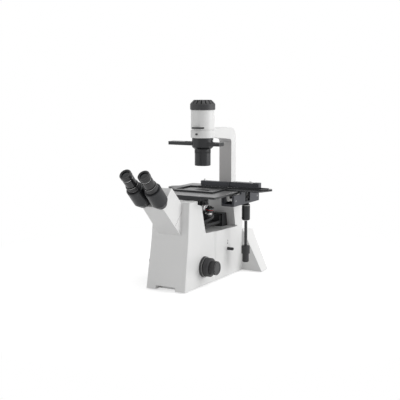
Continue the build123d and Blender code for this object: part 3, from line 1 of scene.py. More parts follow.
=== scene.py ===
"""Looks of the inverted microscope: finishes, small parts, light and camera.

The object's frame has +Z up, -Y towards the user and the optical axis at
x = 0 and y = 0. Small parts are measured in millimetres and their angles in
degrees. Finishes, lights, floor and camera are measured in metres.
"""
import json
from math import atan2, cos, pi, radians, sin

import bpy
from mathutils import Matrix, Vector

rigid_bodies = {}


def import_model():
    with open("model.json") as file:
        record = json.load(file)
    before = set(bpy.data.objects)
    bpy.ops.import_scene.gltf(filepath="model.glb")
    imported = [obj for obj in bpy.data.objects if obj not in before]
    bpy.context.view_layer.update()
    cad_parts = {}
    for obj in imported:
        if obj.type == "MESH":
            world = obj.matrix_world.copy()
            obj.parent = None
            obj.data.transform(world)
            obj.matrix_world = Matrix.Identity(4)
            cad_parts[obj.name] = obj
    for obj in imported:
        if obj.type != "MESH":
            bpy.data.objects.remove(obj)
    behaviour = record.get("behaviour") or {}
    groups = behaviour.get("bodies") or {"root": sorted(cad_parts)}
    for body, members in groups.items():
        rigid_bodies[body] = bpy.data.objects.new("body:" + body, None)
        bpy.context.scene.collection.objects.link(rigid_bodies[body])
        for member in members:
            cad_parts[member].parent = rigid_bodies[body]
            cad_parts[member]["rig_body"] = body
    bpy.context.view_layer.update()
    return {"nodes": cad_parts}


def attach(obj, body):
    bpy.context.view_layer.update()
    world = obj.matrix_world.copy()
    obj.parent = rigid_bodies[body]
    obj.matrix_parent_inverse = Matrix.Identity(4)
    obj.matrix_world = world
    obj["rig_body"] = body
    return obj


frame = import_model()
bpy.ops.object.select_all(action="DESELECT")

MM = 0.001

# Camera that sees the object as the photograph does
VIEW_TARGET = Vector((0.02729, -0.064, 0.24292))
VIEW_DISTANCE = 2.449
VIEW_AZIMUTH = 29.62
VIEW_PITCH = 8.06
LENS_MM = 75.94
SENSOR_MM = 36.0

# Studio: a floor that turns into plain white away from the object, and its light
FLOOR_SIZE = 12
FLOOR_DROP = 0.0002
FLOOR_GREY = 0.8
FLOOR_GLOW = 0.55
FADE_SLOPE = 2.2
FADE_START = 0.9
SURROUND_LIGHT = 0.5

# Finishes, as linear colours
ENAMEL = (0.80, 0.80, 0.795)
# Painted shade: grey for the front face of the column, which lies in shade
COLUMN_SHADE_GREY = (0.60, 0.59, 0.585)
ANODISED = (0.022, 0.023, 0.025)
DRIVE_GREY = (0.05, 0.052, 0.06)
STAGE_BLACK = (0.035, 0.036, 0.038)
# Painted glare: lighter grey for the upper face of the stage
STAGE_GLARE_GREY = (0.15, 0.15, 0.152)
GRIP_BLACK = (0.028, 0.028, 0.03)
GLOSS_BLACK = (0.012, 0.012, 0.013)
STEEL = (0.56, 0.56, 0.55)
CHROME = (0.78, 0.78, 0.78)
LENS_TINT = (0.004, 0.006, 0.008)
CERAMIC_CREAM = (0.7, 0.68, 0.62)
PRINT_WHITE = (0.8, 0.8, 0.8)
PRINT_GREY = (0.06, 0.06, 0.065)

# Where the colour changes within a piece: a strip of painted shade down the front
# face of the column, painted glare on the upper face of the stage, and painted
# shade darkening the upper clamp screw where its hole lies in shade
SHADE_STRIP_FRONT = 0.1425
SHADE_STRIP_REAR = 0.1438
SHADE_STRIP_TOP = 0.406
# Painted glare: the stage turns lighter grey above this height
GLARE_ABOVE = 0.2635
# Painted shade: clamp screws above this height are darkened for the shade in their hole
SHADE_ABOVE = 0.42

# Viewing head, whose local Z is the axis that the eyepiece arms turn on
HEAD_PLACE = (0, -253.5, 272)
HEAD_TILT = 45
HEAD_FACE_HALF = 33
HEAD_FLARE = 4 / 150
HEAD_HALF_TALL = 34.3
SEAM_DEPTH = 85
ARM_REACH = 38.65
ARM_SWING = 47.7

# Turret and its objectives, each with its length, radius and band colour
TURRET_TILT = 15
TURRET_SEAT_Z = 204
STATION_REACH = 36
OBJECTIVES = (
    (46.0, 17.0, (0.75, 0.75, 0.75)),
    (40.0, 13.5, (0.02, 0.10, 0.50)),
    (34.0, 12.5, (0.02, 0.30, 0.08)),
    (30.0, 12.5, (0.75, 0.50, 0.02)),
    (24.0, 13.0, (0.50, 0.02, 0.02)),
)

# Stage, its drive and the walls of the stand
STAGE_TOP = 264
SLIDE_TOP = 269.5
STAGE_SCREWS = ((-58, -122), (58, -122), (-58, 124), (58, 124))
DRIVE_AXIS = (118, 53, 0)
DRIVE_WALL_X = 126
SIDE_WALL_X = 67.5
REAR_WALL_Y = 174
SELECTOR_Y = 33
DIMMER_PLACE = (48, 42)
DIMMER_MARK_REACH = 15.5
FOCUS_AXIS = (0, -108, 58)
RING_SCREW_Z = 431
RING_REACH = 35.4
SLIDER_TOP = 406
SLIDER_MARK_XS = (-50, -96.5)

# Printed marks: how far they reach into and out of a face, and the digits
MARK_SINK = 0.1
MARK_STAND = 0.04
DIGIT_STAND = 0.02
DIGIT_TALL = 3.2

# Edges of small parts
ROUND_SEGMENTS = 2
ROUND_FROM = radians(30)
SMOOTH_BELOW = radians(35)

# Sockets of the colour mix node, which share their names with others
MIX_FACTOR = 0
MIX_FIRST = 6
MIX_SECOND = 7
MIX_RESULT = 2

PLUS_X = (1, 0, 0)
PLUS_Y = (0, 1, 0)
PLUS_Z = (0, 0, 1)
MINUS_X = (-1, 0, 0)


class Value:
    """A shader socket that adds, multiplies and compares like a number."""

    def __init__(self, shader, socket):
        self.shader = shader
        self.socket = socket

    def maths(self, operation, *others):
        inputs = dict(enumerate((self, *others)))
        return self.shader.node("ShaderNodeMath", inputs, operation=operation)

    def __add__(self, other):
        return self.maths("ADD", other)

    def __radd__(self, other):
        return self.maths("ADD", other)

    def __sub__(self, other):
        return self.maths("SUBTRACT", other)

    def __mul__(self, other):
        return self.maths("MULTIPLY", other)

    def __rmul__(self, other):
        return self.maths("MULTIPLY", other)

    def __gt__(self, other):
        return self.maths("GREATER_THAN", other)

    def __lt__(self, other):
        return self.maths("LESS_THAN", other)


class Shader:
    """The node tree of a material or of the world, under construction."""

    def __init__(self, owner):
        self.owner = owner
        owner.use_nodes = True
        self.tree = owner.node_tree
        self.tree.nodes.clear()

    def node(self, kind, inputs=None, output=0, **settings):
        """Make a node; an input is a number, a colour or a value from another node."""
        made = self.tree.nodes.new(kind)
        for key, setting in settings.items():
            setattr(made, key, setting)
        for key, given in (inputs or {}).items():
            self.feed(made.inputs[key], given)
        return Value(self, made.outputs[output])

    def feed(self, socket, given):
        if isinstance(given, Value):
            self.tree.links.new(given.socket, socket)
        elif socket.type == "RGBA":
            socket.default_value = (*given, 1.0)
        else:
            socket.default_value = given

    def place(self):
        """Object coordinates."""
        return self.node("ShaderNodeTexCoord", output="Object")

    def axis(self, name):
        """One of the object coordinates, by its letter."""
        return self.node("ShaderNodeSeparateXYZ", {0: self.place()}, output=name)

    def noise(self, scale, detail):
        inputs = {"Vector": self.place(), "Scale": scale, "Detail": detail}
        return self.node("ShaderNodeTexNoise", inputs, output="Fac")

    def mix(self, factor, first, second):
        """Mix of two colours, each a tuple or a value."""
        inputs = {MIX_FACTOR: factor, MIX_FIRST: first, MIX_SECOND: second}
        return self.node("ShaderNodeMix", inputs, output=MIX_RESULT, data_type="RGBA")

    def shades(self, factor, colour, low, high):
        """Colour that follows a factor between two shades of itself."""
        return self.mix(factor, shaded(colour, low), shaded(colour, high))

    def bump(self, height, distance, strength):
        inputs = {"Height": height, "Distance": distance, "Strength": strength}
        return self.node("ShaderNodeBump", inputs)

    def surface(self, **inputs):
        """Finish a material with a principled surface."""
        inputs = {key.replace("_", " "): given for key, given in inputs.items()}
        self.finish(self.node("ShaderNodeBsdfPrincipled", inputs), "ShaderNodeOutputMaterial")
        return self.owner

    def finish(self, result, output):
        self.tree.links.new(result.socket, self.tree.nodes.new(output).inputs["Surface"])


def shaded(colour, factor):
    return tuple(channel * factor for channel in colour)


def between(factor, low, high):
    """Number that follows a factor from low to high."""
    return low + (high - low) * factor


def enamel(name, colour, painted_shade=None):
    """Satin powder paint with faint orange peel; a strip of painted shade in another colour if one is
    given.
    """
    shader = Shader(bpy.data.materials.new(name))
    tone = shader.shades(shader.noise(scale=9.0, detail=3.0), colour, 0.97, 1.02)
    if painted_shade:
        depth = shader.axis("Y")
        # Painted shade on the front face of the column, below the lamp ring
        in_shade = (depth > SHADE_STRIP_FRONT) * (depth < SHADE_STRIP_REAR) * (shader.axis("Z") < SHADE_STRIP_TOP)
        tone = shader.mix(in_shade, tone, painted_shade)
    rough = between(shader.noise(scale=40.0, detail=3.0), 0.36, 0.46)
    peel = shader.bump(shader.noise(scale=900.0, detail=2.0), distance=0.00006, strength=0.6)
    return shader.surface(Base_Color=tone, Roughness=rough, Normal=peel, Coat_Weight=0.15,
                          Coat_Roughness=0.25)


def anodised(name, colour, roughness=0.34):
    """Blasted and anodised metal with a fine grain."""
    shader = Shader(bpy.data.materials.new(name))
    cloud = shader.noise(scale=30.0, detail=4.0)
    tone = shader.shades(cloud, colour, 0.85, 1.2)
    rough = between(cloud, roughness - 0.06, roughness + 0.06)
    grain = shader.bump(shader.noise(scale=1400.0, detail=2.0), distance=0.00004, strength=0.5)
    return shader.surface(Base_Color=tone, Roughness=rough, Metallic=0.35, Normal=grain)


def stage_finish(name, edge, face):
    """Black stage whose upper face is painted greyer than its edges, as painted glare."""
    shader = Shader(bpy.data.materials.new(name))
    cloud = shader.noise(scale=24.0, detail=4.0)
    # Painted glare: the upper face takes a lighter grey than the edges
    upper = shader.shades(cloud, face, 0.88, 1.12)
    tone = shader.mix(shader.axis("Z") > GLARE_ABOVE, edge, upper)
    rough = between(cloud, 0.24, 0.36)
    grain = shader.bump(shader.noise(scale=1500.0, detail=2.0), distance=0.00003, strength=0.5)
    return shader.surface(Base_Color=tone, Roughness=rough, Metallic=0.3, Normal=grain)


def moulded(name, colour, roughness=0.5):
    """Moulded plastic or rubber with a fine leather texture."""
    shader = Shader(bpy.data.materials.new(name))
    dust = shader.noise(scale=60.0, detail=5.0)
    tone = shader.shades(dust, colour, 0.8, 1.35)
    rough = between(dust, roughness - 0.08, roughness + 0.08)
    pores = shader.bump(shader.noise(scale=1100.0, detail=3.0), distance=0.00005, strength=0.6)
    return shader.surface(Base_Color=tone, Roughness=rough, Normal=pores)


def bright_metal(name, colour, roughness, shade_above=None):
    """Turned or plated metal with fine marks, darkened above a height as painted shade of a screw hole if
    one is given.
    """
    shader = Shader(bpy.data.materials.new(name))
    marks = shader.noise(scale=700.0, detail=3.0)
    rough = between(marks, roughness, roughness + 0.10)
    tone = shader.shades(marks, colour, 0.92, 1.04)
    # Painted shade: darkened above the given height for the shade in the screw hole
    if shade_above:
        tone = shader.mix(shader.axis("Z") > shade_above, tone, shaded(colour, 0.08))
    normal = shader.bump(marks, distance=0.00002, strength=0.4)
    return shader.surface(Base_Color=tone, Roughness=rough, Metallic=1.0, Normal=normal)


def coated_glass(name, tint):
    """Lens with a dark, faintly coloured anti-reflection coat."""
    shader = Shader(bpy.data.materials.new(name))
    haze = shader.noise(scale=200.0, detail=2.0)
    tone = shader.shades(haze, tint, 0.9, 1.1)
    rough = between(haze, 0.02, 0.05)
    return shader.surface(Base_Color=tone, Roughness=rough, Coat_Weight=0.2, Coat_Roughness=0.02,
                          Specular_IOR_Level=0.35)


WHITE = enamel("white_enamel", ENAMEL)
ARM_WHITE_SHADED = enamel("arm_enamel_painted_shade", ENAMEL, painted_shade=COLUMN_SHADE_GREY)
BLACK = anodised("black_anodised", ANODISED)
STAGE = stage_finish("stage_black", STAGE_BLACK, STAGE_GLARE_GREY)
DRIVE = anodised("drive_grey", DRIVE_GREY, roughness=0.42)
GRIP = moulded("grip_black", GRIP_BLACK)
GLOSS = moulded("gloss_black", GLOSS_BLACK, roughness=0.25)
RUBBER = moulded("foot_rubber", GRIP_BLACK, roughness=0.8)
BARE_STEEL = bright_metal("turned_steel", STEEL, roughness=0.3)
PLATED = bright_metal("plated_metal", CHROME, roughness=0.12)
CLAMPS = bright_metal("clamp_metal", CHROME, roughness=0.15, shade_above=SHADE_ABOVE)
LENS = coated_glass("lens_glass", LENS_TINT)
CERAMIC = moulded("ceramic", CERAMIC_CREAM, roughness=0.6)
MARK_WHITE = moulded("mark_white", PRINT_WHITE)
MARK_GREY = moulded("mark_grey", PRINT_GREY)

FINISHES = {
    WHITE: ("stand_casting", "head_housing", "lamp_housing"),
    ARM_WHITE_SHADED: ("illumination_arm",),
    BLACK: ("condenser_holder", "condenser_barrel", "drive_tube", "turret", "carriage", "guide_block",
            "left_prism_housing", "right_prism_housing", "left_eyepiece_tube", "right_eyepiece_tube",
            "phase_slider", "field_diaphragm", "prism_bracket", "prism_slide", "camera_port",
            "x_slide", "specimen_holder", "holder_clip"),
    STAGE: ("stage_plate", "stage_insert"),
    DRIVE: ("drive_housing", "guide_beam"),
    GRIP: ("lamp_cap", "tension_collars", "coarse_knobs", "fine_knobs", "y_knob", "x_knob",
           "power_inlet", "power_switch", "brightness_dial", "left_diopter_ring",
           "right_diopter_ring", "selector_rod"),
    GLOSS: ("left_eyepiece", "right_eyepiece"),
    RUBBER: ("rubber_feet",),
    BARE_STEEL: ("guide_rail", "pivot_tube", "focus_shaft", "base_plate"),
    CLAMPS: ("clamp_screws",),
    PLATED: ("guide_screws", "objectives", "base_mirror"),
    LENS: ("tube_lens", "beam_prism", "left_arm_prism", "right_arm_prism", "left_eye_lens",
           "right_eye_lens", "halogen_bulb", "collector_lens", "condenser_lens", "phase_annuli"),
    CERAMIC: ("lamp_socket",),
}


def dress(node, material):
    """Give a node of the frame its finish."""
    slots = frame["nodes"][node].material_slots
    if not slots:
        frame["nodes"][node].data.materials.append(material)
    for slot in slots:
        slot.material = material


for material, nodes in FINISHES.items():
    for node in nodes:
        dress(node, material)


def body_of(node):
    """Body that a node of the frame rides on."""
    return frame["nodes"][node]["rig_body"]


def moved(x, y, z):
    return Matrix.Translation(Vector((x, y, z)) * MM)


def turned(degrees, axis):
    return Matrix.Rotation(radians(degrees), 4, axis)


def facing(x, y, z, axis):
    """Place on the object whose local Z points along an axis."""
    return moved(x, y, z) @ Vector(axis).to_track_quat("Z", "Y").to_matrix().to_4x4()


HEAD_FRAME = moved(*HEAD_PLACE) @ turned(HEAD_TILT, "X")
TURRET_FRAME = moved(
    0, -STATION_REACH * cos(radians(TURRET_TILT)),
    TURRET_SEAT_Z - STATION_REACH * sin(radians(TURRET_TILT))) @ turned(TURRET_TILT, "X")


def eyepiece_frame(side):
    """Local Z runs up an eyepiece axis from the sloping face of the head."""
    return HEAD_FRAME @ turned(-90 + side * ARM_SWING, "Z") @ moved(ARM_REACH, 0, 0)


def station_frame(index):
    """Local Z runs up an objective from its seat on the turret."""
    step = turned(360 * index / len(OBJECTIVES), "Z")
    return TURRET_FRAME @ step @ moved(0, STATION_REACH, 0) @ turned(-TURRET_TILT, "X")


def fresh():
    """Object mode, with nothing selected."""
    if bpy.context.mode != "OBJECT":
        bpy.ops.object.mode_set(mode="OBJECT")
    bpy.ops.object.select_all(action="DESELECT")


def pick(piece):
    """Object mode, with this piece alone selected and active."""
    fresh()
    piece.select_set(True)
    bpy.context.view_layer.objects.active = piece


def select_faces(piece, test):
    """Go into edit mode with only the faces whose centre and normal pass the test."""
    bpy.ops.object.mode_set(mode="EDIT")
    bpy.ops.mesh.select_mode(type="FACE")
    bpy.ops.mesh.select_all(action="DESELECT")
    bpy.ops.object.mode_set(mode="OBJECT")
    for face in piece.data.polygons:
        face.select = test(face.center, face.normal)
    bpy.ops.object.mode_set(mode="EDIT")


def finished(piece, name, body, material, where=None):
    """Put a piece in its place on the body that carries it."""
    pick(piece)
    if where is not None:
        piece.matrix_world = where @ piece.matrix_world
    bpy.ops.object.transform_apply(location=True, rotation=True, scale=True)
    bpy.ops.object.shade_smooth_by_angle(angle=SMOOTH_BELOW)
    piece.name = name
    piece.data.materials.clear()
    piece.data.materials.append(material)
    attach(piece, body)


def rounded(piece, width):
    """Small rounds on the sharp edges, applied."""
    bevel = piece.modifiers.new("rounds", "BEVEL")
    bevel.width = width * MM
    bevel.segments = ROUND_SEGMENTS
    bevel.limit_method = "ANGLE"
    bevel.angle_limit = ROUND_FROM
    bpy.ops.object.modifier_apply(modifier=bevel.name)
    return piece


def cylinder(radius, low, high, sides, ends):
    """Cylinder about Z between two heights, with open or flat ends."""
    fresh()
    bpy.ops.mesh.primitive_cylinder_add(
        vertices=sides, radius=radius * MM, depth=(high - low) * MM, end_fill_type=ends,
        location=(0, 0, (low + high) / 2 * MM))
    bpy.ops.object.transform_apply(location=True, rotation=True, scale=True)
    return bpy.context.object


def sleeve(radius, low, high, wall, edge, ribs=0, rib_height=0, sides=96):
    """Tube about Z with rounded rims, ribbed on the outside if ribs are given."""
    piece = cylinder(radius, low, high, 2 * ribs or sides, "NOTHING")
    if ribs:
        step = pi / ribs

        def on_rib(centre, normal):
            return round(atan2(centre.y, centre.x) / step - 0.5) % 2 == 0

        select_faces(piece, on_rib)
        bpy.ops.mesh.extrude_faces_move(TRANSFORM_OT_shrink_fatten={"value": rib_height * MM})
        pick(piece)
    thick = piece.modifiers.new("wall", "SOLIDIFY")
    thick.thickness = wall * MM
    thick.offset = -1
    bpy.ops.object.modifier_apply(modifier=thick.name)
    return rounded(piece, edge)


def stud(radius, low, high, edge, sides, dish=0):
    """Round stud about Z; a dish sinks the middle of its end."""
    piece = cylinder(radius, low, high, sides, "NGON")
    if dish:
        rim = 0.45 * radius
        select_faces(piece, lambda centre, normal: normal.z > 0.9)
        bpy.ops.mesh.inset(thickness=rim * MM)
        bpy.ops.transform.translate(value=(0, 0, -dish * MM))
        pick(piece)
    return rounded(piece, edge)


def bar(x0, x1, y0, y1, z0, z1):
    """Sharp-edged bar between two corners."""
    fresh()
    middle = Vector((x0 + x1, y0 + y1, z0 + z1)) / 2
    bpy.ops.mesh.primitive_cube_add(size=1, location=middle * MM)
    piece = bpy.context.object
    piece.scale = Vector((x1 - x0, y1 - y0, z1 - z0)) * MM
    bpy.ops.object.transform_apply(location=True, rotation=True, scale=True)
    return piece


def repeated(piece, count, step):
    """Row of the same piece, applied."""
    row = piece.modifiers.new("row", "ARRAY")
    row.count = count
    row.use_relative_offset = False
    row.use_constant_offset = True
    row.constant_offset_displace = step * MM
    bpy.context.view_layer.objects.active = piece
    bpy.ops.object.modifier_apply(modifier=row.name)
    return piece


def number(value, place):
    """Plain printed number, flat and facing up."""
    fresh()
    bpy.ops.object.text_add(location=place * MM)
    text = bpy.context.object
    text.data.body = str(value)
    text.data.size = DIGIT_TALL * MM
    text.data.extrude = DIGIT_STAND * MM
    text.data.align_x = "CENTER"
    bpy.ops.object.convert(target="MESH")
    return bpy.context.object


def joined(pieces):
    """One piece made of several."""
    fresh()
    for piece in pieces:
        piece.select_set(True)
    bpy.context.view_layer.objects.active = pieces[0]
    bpy.ops.object.join()
    return bpy.context.object


def dress_objectives():
    """Black sleeve, ribbed grip and colour band on each objective."""
    for index, (length, radius, colour) in enumerate(OBJECTIVES):
        where = station_frame(index)
        low = 0.34 * length
        high = 0.85 * length
        shell = sleeve(radius + 0.25, low, high, wall=0.8, edge=0.3)
        finished(shell, f"objective_shell_{index}", "revolver", GLOSS, where)
        grip = sleeve(radius + 0.3, low + 0.8, low + 4.0, wall=0.9, edge=0.1, ribs=40, rib_height=0.25)
        finished(grip, f"objective_grip_{index}", "revolver", BLACK, where)
        band = sleeve(radius + 0.4, high - 4.5, high - 3.2, wall=0.9, edge=0.1)
        paint = moulded(f"band_{index}", colour, roughness=0.35)
        finished(band, f"objective_band_{index}", "revolver", paint, where)


def dress_eyepieces():
    """Bright trim ring, bead of the cup, line on the tube and diopter scale, on both sides."""
    for side, name in ((-1, "left"), (1, "right")):
        where = eyepiece_frame(side)
        trim = sleeve(radius=15.4, low=111.3, high=111.9, wall=0.8, edge=0.1)
        finished(trim, f"{name}_trim_ring", body_of(f"{name}_eyepiece"), PLATED, where)
        bead = sleeve(radius=16.95, low=118.6, high=120.2, wall=0.9, edge=0.4)
        finished(bead, f"{name}_cup_bead", body_of(f"{name}_eyepiece"), RUBBER, where)
        line = sleeve(radius=17.95, low=84.4, high=85.2, wall=0.8, edge=0.1)
        finished(line, f"{name}_tube_line", body_of(f"{name}_eyepiece_tube"), BARE_STEEL, where)
        dress_diopter(name, where)


def dress_diopter(name, where):
    """Seven lines across the top of a diopter ring, the middle one longer."""
    low = 72.4
    pitch = 8
    for step in range(-3, 4):
        high = low + (1.9 if step else 2.6)
        tick = bar(18.4, 18.75, -0.15, 0.15, low, high)
        spot = where @ turned(90 + pitch * step, "Z")
        finished(tick, f"{name}_diopter_tick_{step + 3}", body_of(f"{name}_diopter_ring"), MARK_WHITE, spot)


def dress_head():
    """Dark line of the seam between the two parts of the head, and a screw on each side."""
    half = HEAD_FACE_HALF + HEAD_FLARE * SEAM_DEPTH
    tall = HEAD_HALF_TALL
    depth = 1
    stand = 0.12
    for name, corners in (
        ("right", (half - depth, half + stand, -tall, tall)),
        ("left", (-half - stand, -half + depth, -tall, tall)),
        ("top", (-half, half, tall - depth, tall + stand)),
    ):
        line = bar(*corners, -SEAM_DEPTH - 0.45, -SEAM_DEPTH + 0.05)
        finished(line, f"head_seam_{name}", "root", MARK_GREY, HEAD_FRAME)
    for name, x in (("right", half), ("left", -half)):
        screw = stud(radius=1.7, low=-0.5, high=0.25, edge=0.1, sides=32, dish=0.3)
        spot = HEAD_FRAME @ facing(x, tall - 7, -SEAM_DEPTH + 5, (x, 0, 0))
        finished(screw, f"head_screw_{name}", "root", BARE_STEEL, spot)


def ruled_scale(name, body, direction, short, long, digit, tens, face):
    """Scale with a line for each millimetre, a longer line and a number for each ten.

    short and long are the first line of each kind, as x0, x1, y0 and y1, and
    digit is the x and y of the first number.
    """
    for kind, corners, pitch in (("ticks", short, 1), ("tens", long, 10)):
        line = bar(*corners, face - MARK_SINK, face + MARK_STAND)
        lines = repeated(line, 10 * tens // pitch + 1, Vector(direction) * pitch)
        finished(lines, f"{name}_scale_{kind}", body, MARK_WHITE)
    for value in range(0, 10 * tens + 1, 10):
        place = Vector((*digit, face + DIGIT_STAND)) + Vector(direction) * value
        finished(number(value, place), f"{name}_scale_{value}", body, MARK_WHITE)


def dress_stage():
    """Countersunk screws of the stage, its two scales and the rim of its insert."""
    for index, (x, y) in enumerate(STAGE_SCREWS):
        screw = stud(radius=3.6, low=-0.4, high=0.12, edge=0.08, sides=40, dish=0.1)
        finished(screw, f"stage_screw_{index}", "root", BARE_STEEL, facing(x, y, STAGE_TOP, PLUS_Z))
    ruled_scale("x", body_of("x_slide"), PLUS_X, short=(-30, -29.85, 46.5, 48.5),
                long=(-30, -29.8, 46.5, 50.0), digit=(-30, 51.0), tens=12, face=SLIDE_TOP)
    ruled_scale("y", "root", PLUS_Y, short=(109.5, 111.5, -60, -59.85),
                long=(108, 111.5, -60, -59.8), digit=(103.5, -61), tens=10, face=STAGE_TOP)
    rim = sleeve(radius=54.6, low=STAGE_TOP - 0.4, high=STAGE_TOP + 0.12, wall=1.2, edge=0.1, sides=128)
    finished(rim, "insert_rim", "root", BARE_STEEL)


def dress_drive():
    """Bright rings round the drive sleeve and screws on the drive housing."""
    axis = moved(*DRIVE_AXIS)
    ring = sleeve(radius=8.6, low=174, high=177, wall=3.5, edge=0.4)
    finished(ring, "drive_lock_ring", "stage_carriage", PLATED, axis)
    line = sleeve(radius=12.4, low=219, high=220, wall=0.6, edge=0.1)
    finished(line, "drive_tube_line", "stage_carriage", BARE_STEEL, axis)
    for index, y in enumerate((-28, 112)):
        screw = stud(radius=2.6, low=-0.6, high=0.35, edge=0.15, sides=40, dish=0.4)
        spot = facing(DRIVE_WALL_X, y, 242, PLUS_X)
        finished(screw, f"housing_screw_{index}", "stage_carriage", BARE_STEEL, spot)


def dress_walls():
    """Marks beside the controls, and screws on the mains inlet and the lamp ring."""
    dot = stud(radius=2.3, low=-0.3, high=0.15, edge=0.05, sides=32)
    finished(dot, "selector_mark_low", "root", MARK_GREY, facing(SIDE_WALL_X, SELECTOR_Y, 103, PLUS_X))
    circle = sleeve(radius=2.6, low=-0.3, high=0.15, wall=1.0, edge=0.05, sides=48)
    finished(circle, "selector_mark_high", "root", MARK_GREY, facing(SIDE_WALL_X, SELECTOR_Y, 111, PLUS_X))
    dimmer_y, dimmer_z = DIMMER_PLACE
    for index in range(7):
        angle = radians(-135 + 45 * index)
        dot = stud(radius=0.5 + 0.13 * index, low=-0.3, high=0.12, edge=0.04, sides=24)
        spot = facing(-SIDE_WALL_X, dimmer_y - DIMMER_MARK_REACH * sin(angle),
                      dimmer_z + DIMMER_MARK_REACH * cos(angle), MINUS_X)
        finished(dot, f"dimmer_mark_{index}", "root", MARK_GREY, spot)
    for index, x in enumerate((-22.5, 22.5)):
        screw = stud(radius=2.2, low=-0.5, high=0.5, edge=0.2, sides=40, dish=0.4)
        finished(screw, f"inlet_screw_{index}", "root", BARE_STEEL, facing(x, REAR_WALL_Y, 42, PLUS_Y))
    for index, turn in enumerate((-150, 60)):
        outward = Vector((cos(radians(turn)), sin(radians(turn)), 0))
        screw = stud(radius=1.9, low=-0.6, high=0.15, edge=0.1, sides=32, dish=0.5)
        place = outward * RING_REACH + Vector((0, 0, RING_SCREW_Z))
        finished(screw, f"ring_screw_{index}", "root", BARE_STEEL, facing(*place, outward))


def dress_lamp():
    """Seam of the drum, line and grip of the condenser, marks on the phase slider."""
    line = sleeve(radius=34.95, low=500.6, high=501.6, wall=0.6, edge=0.1, sides=128)
    finished(line, "drum_seam", "root", MARK_GREY)
    line = sleeve(radius=23.75, low=344, high=345, wall=0.6, edge=0.1)
    finished(line, "condenser_line", "root", BLACK)
    grip = sleeve(radius=23.7, low=374, high=384, wall=0.8, edge=0.15, ribs=72, rib_height=0.3)
    finished(grip, "condenser_grip", "root", BLACK)
    for index, x in enumerate(SLIDER_MARK_XS):
        dot = stud(radius=1.3, low=-0.3, high=0.05, edge=0.02, sides=32)
        finished(dot, f"slider_mark_{index}", "phase_insert", MARK_WHITE, facing(x, 0, SLIDER_TOP, PLUS_Z))


def dress_focus():
    """Bright line on the tension collars and a graduated edge on the fine knobs."""
    ticks = 40
    for side, name in ((1, "right"), (-1, "left")):
        outward = moved(*FOCUS_AXIS) @ turned(90 * side, "Y")
        line = sleeve(radius=29.2, low=73.2, high=73.75, wall=1.0, edge=0.1, sides=128)
        finished(line, f"{name}_tension_line", "root", BARE_STEEL, outward)
        marks = []
        for index in range(ticks):
            tick = bar(19.2, 19.6, -0.12, 0.12, 108.6, 109.4)
            tick.matrix_world = outward @ turned(360 * index / ticks, "Z") @ tick.matrix_world
            marks.append(tick)
        finished(joined(marks), f"{name}_fine_scale", "fine_focus", MARK_WHITE)


dress_objectives()
dress_eyepieces()
dress_head()
dress_stage()
dress_drive()
dress_walls()
dress_lamp()
dress_focus()


def seen_directly(shader):
    """One for rays from the camera, for reflections and through glass, and zero for others."""
    seen = shader.node("ShaderNodeLightPath", output="Is Camera Ray")
    for ray in ("Is Glossy Ray", "Is Transmission Ray"):
        seen = seen.maths("MAXIMUM", shader.node("ShaderNodeLightPath", output=ray))
    return seen


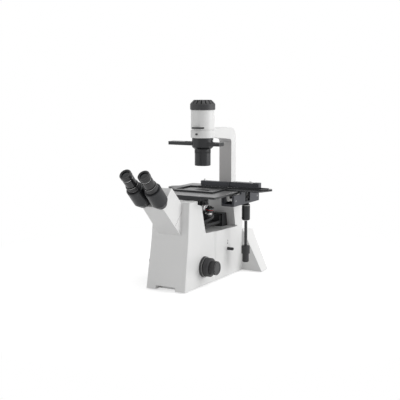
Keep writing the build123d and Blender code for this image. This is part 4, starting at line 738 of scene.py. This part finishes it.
def studio_floor():
    """Pale floor that shows white to the camera and keeps a soft shadow."""
    bpy.ops.mesh.primitive_plane_add(size=FLOOR_SIZE, location=(0, 0, -FLOOR_DROP))
    floor = bpy.context.object
    floor.name = "studio_floor"
    bpy.ops.object.transform_apply(location=True, rotation=True, scale=True)
    shader = Shader(bpy.data.materials.new("studio_floor"))
    x = shader.axis("X")
    y = shader.axis("Y")
    distance = (x * x + y * y).maths("SQRT")
    far = (distance * FADE_SLOPE - FADE_START).maths("MAXIMUM", 0.0).maths("MINIMUM", 1.0)
    matte = shader.node("ShaderNodeBsdfDiffuse", {"Color": (FLOOR_GREY,) * 3})
    glow = shader.node("ShaderNodeEmission", {"Color": (1, 1, 1), "Strength": FLOOR_GLOW})
    white = shader.node("ShaderNodeEmission", {"Color": (1, 1, 1), "Strength": 1.0})
    near = shader.node("ShaderNodeAddShader", {0: matte, 1: glow})
    lit = shader.node("ShaderNodeMixShader", {0: far, 1: near, 2: white})
    result = shader.node("ShaderNodeMixShader", {0: seen_directly(shader), 1: matte, 2: lit})
    shader.finish(result, "ShaderNodeOutputMaterial")
    floor.data.materials.append(shader.owner)


def studio_world():
    """White surround for the camera, and soft grey light for the rest."""
    world = bpy.data.worlds.new("studio")
    bpy.context.scene.world = world
    shader = Shader(world)
    soft = shader.node("ShaderNodeBackground", {"Color": (1, 1, 1), "Strength": SURROUND_LIGHT})
    white = shader.node("ShaderNodeBackground", {"Color": (1, 1, 1), "Strength": 1.0})
    result = shader.node("ShaderNodeMixShader", {0: seen_directly(shader), 1: soft, 2: white})
    shader.finish(result, "ShaderNodeOutputWorld")


def area_light(name, place, aim, size, power):
    """Square soft light that points at a place on the object."""
    data = bpy.data.lights.new(name, "AREA")
    data.size = size
    data.energy = power
    lamp = bpy.data.objects.new(name, data)
    bpy.context.scene.collection.objects.link(lamp)
    lamp.location = place
    lamp.rotation_euler = (Vector(aim) - Vector(place)).to_track_quat("-Z", "Y").to_euler()


def studio_lights():
    """Broad light from the right and behind, weaker light from above and the front left."""
    area_light("right_panel", place=(2.5, 1.0, 1.0), aim=(0, 0, 0.25), size=1.8, power=38)
    area_light("top_panel", place=(0.3, 0.4, 2.5), aim=(0, 0, 0.2), size=1.6, power=12)
    area_light("front_panel", place=(-1.8, -2.0, 1.0), aim=(0, 0, 0.25), size=1.4, power=8)


def photo_camera():
    """Camera at the photograph's viewing angle."""
    azimuth = radians(VIEW_AZIMUTH)
    pitch = radians(VIEW_PITCH)
    back = Vector((sin(azimuth) * cos(pitch), -cos(azimuth) * cos(pitch), sin(pitch)))
    data = bpy.data.cameras.new("photo_camera")
    data.lens = LENS_MM
    data.sensor_width = SENSOR_MM
    camera = bpy.data.objects.new("photo_camera", data)
    bpy.context.scene.collection.objects.link(camera)
    camera.location = VIEW_TARGET + VIEW_DISTANCE * back
    camera.rotation_euler = (-back).to_track_quat("-Z", "Y").to_euler()
    bpy.context.scene.camera = camera


studio_floor()
studio_world()
studio_lights()
photo_camera()
bpy.context.scene.view_settings.view_transform = "Standard"
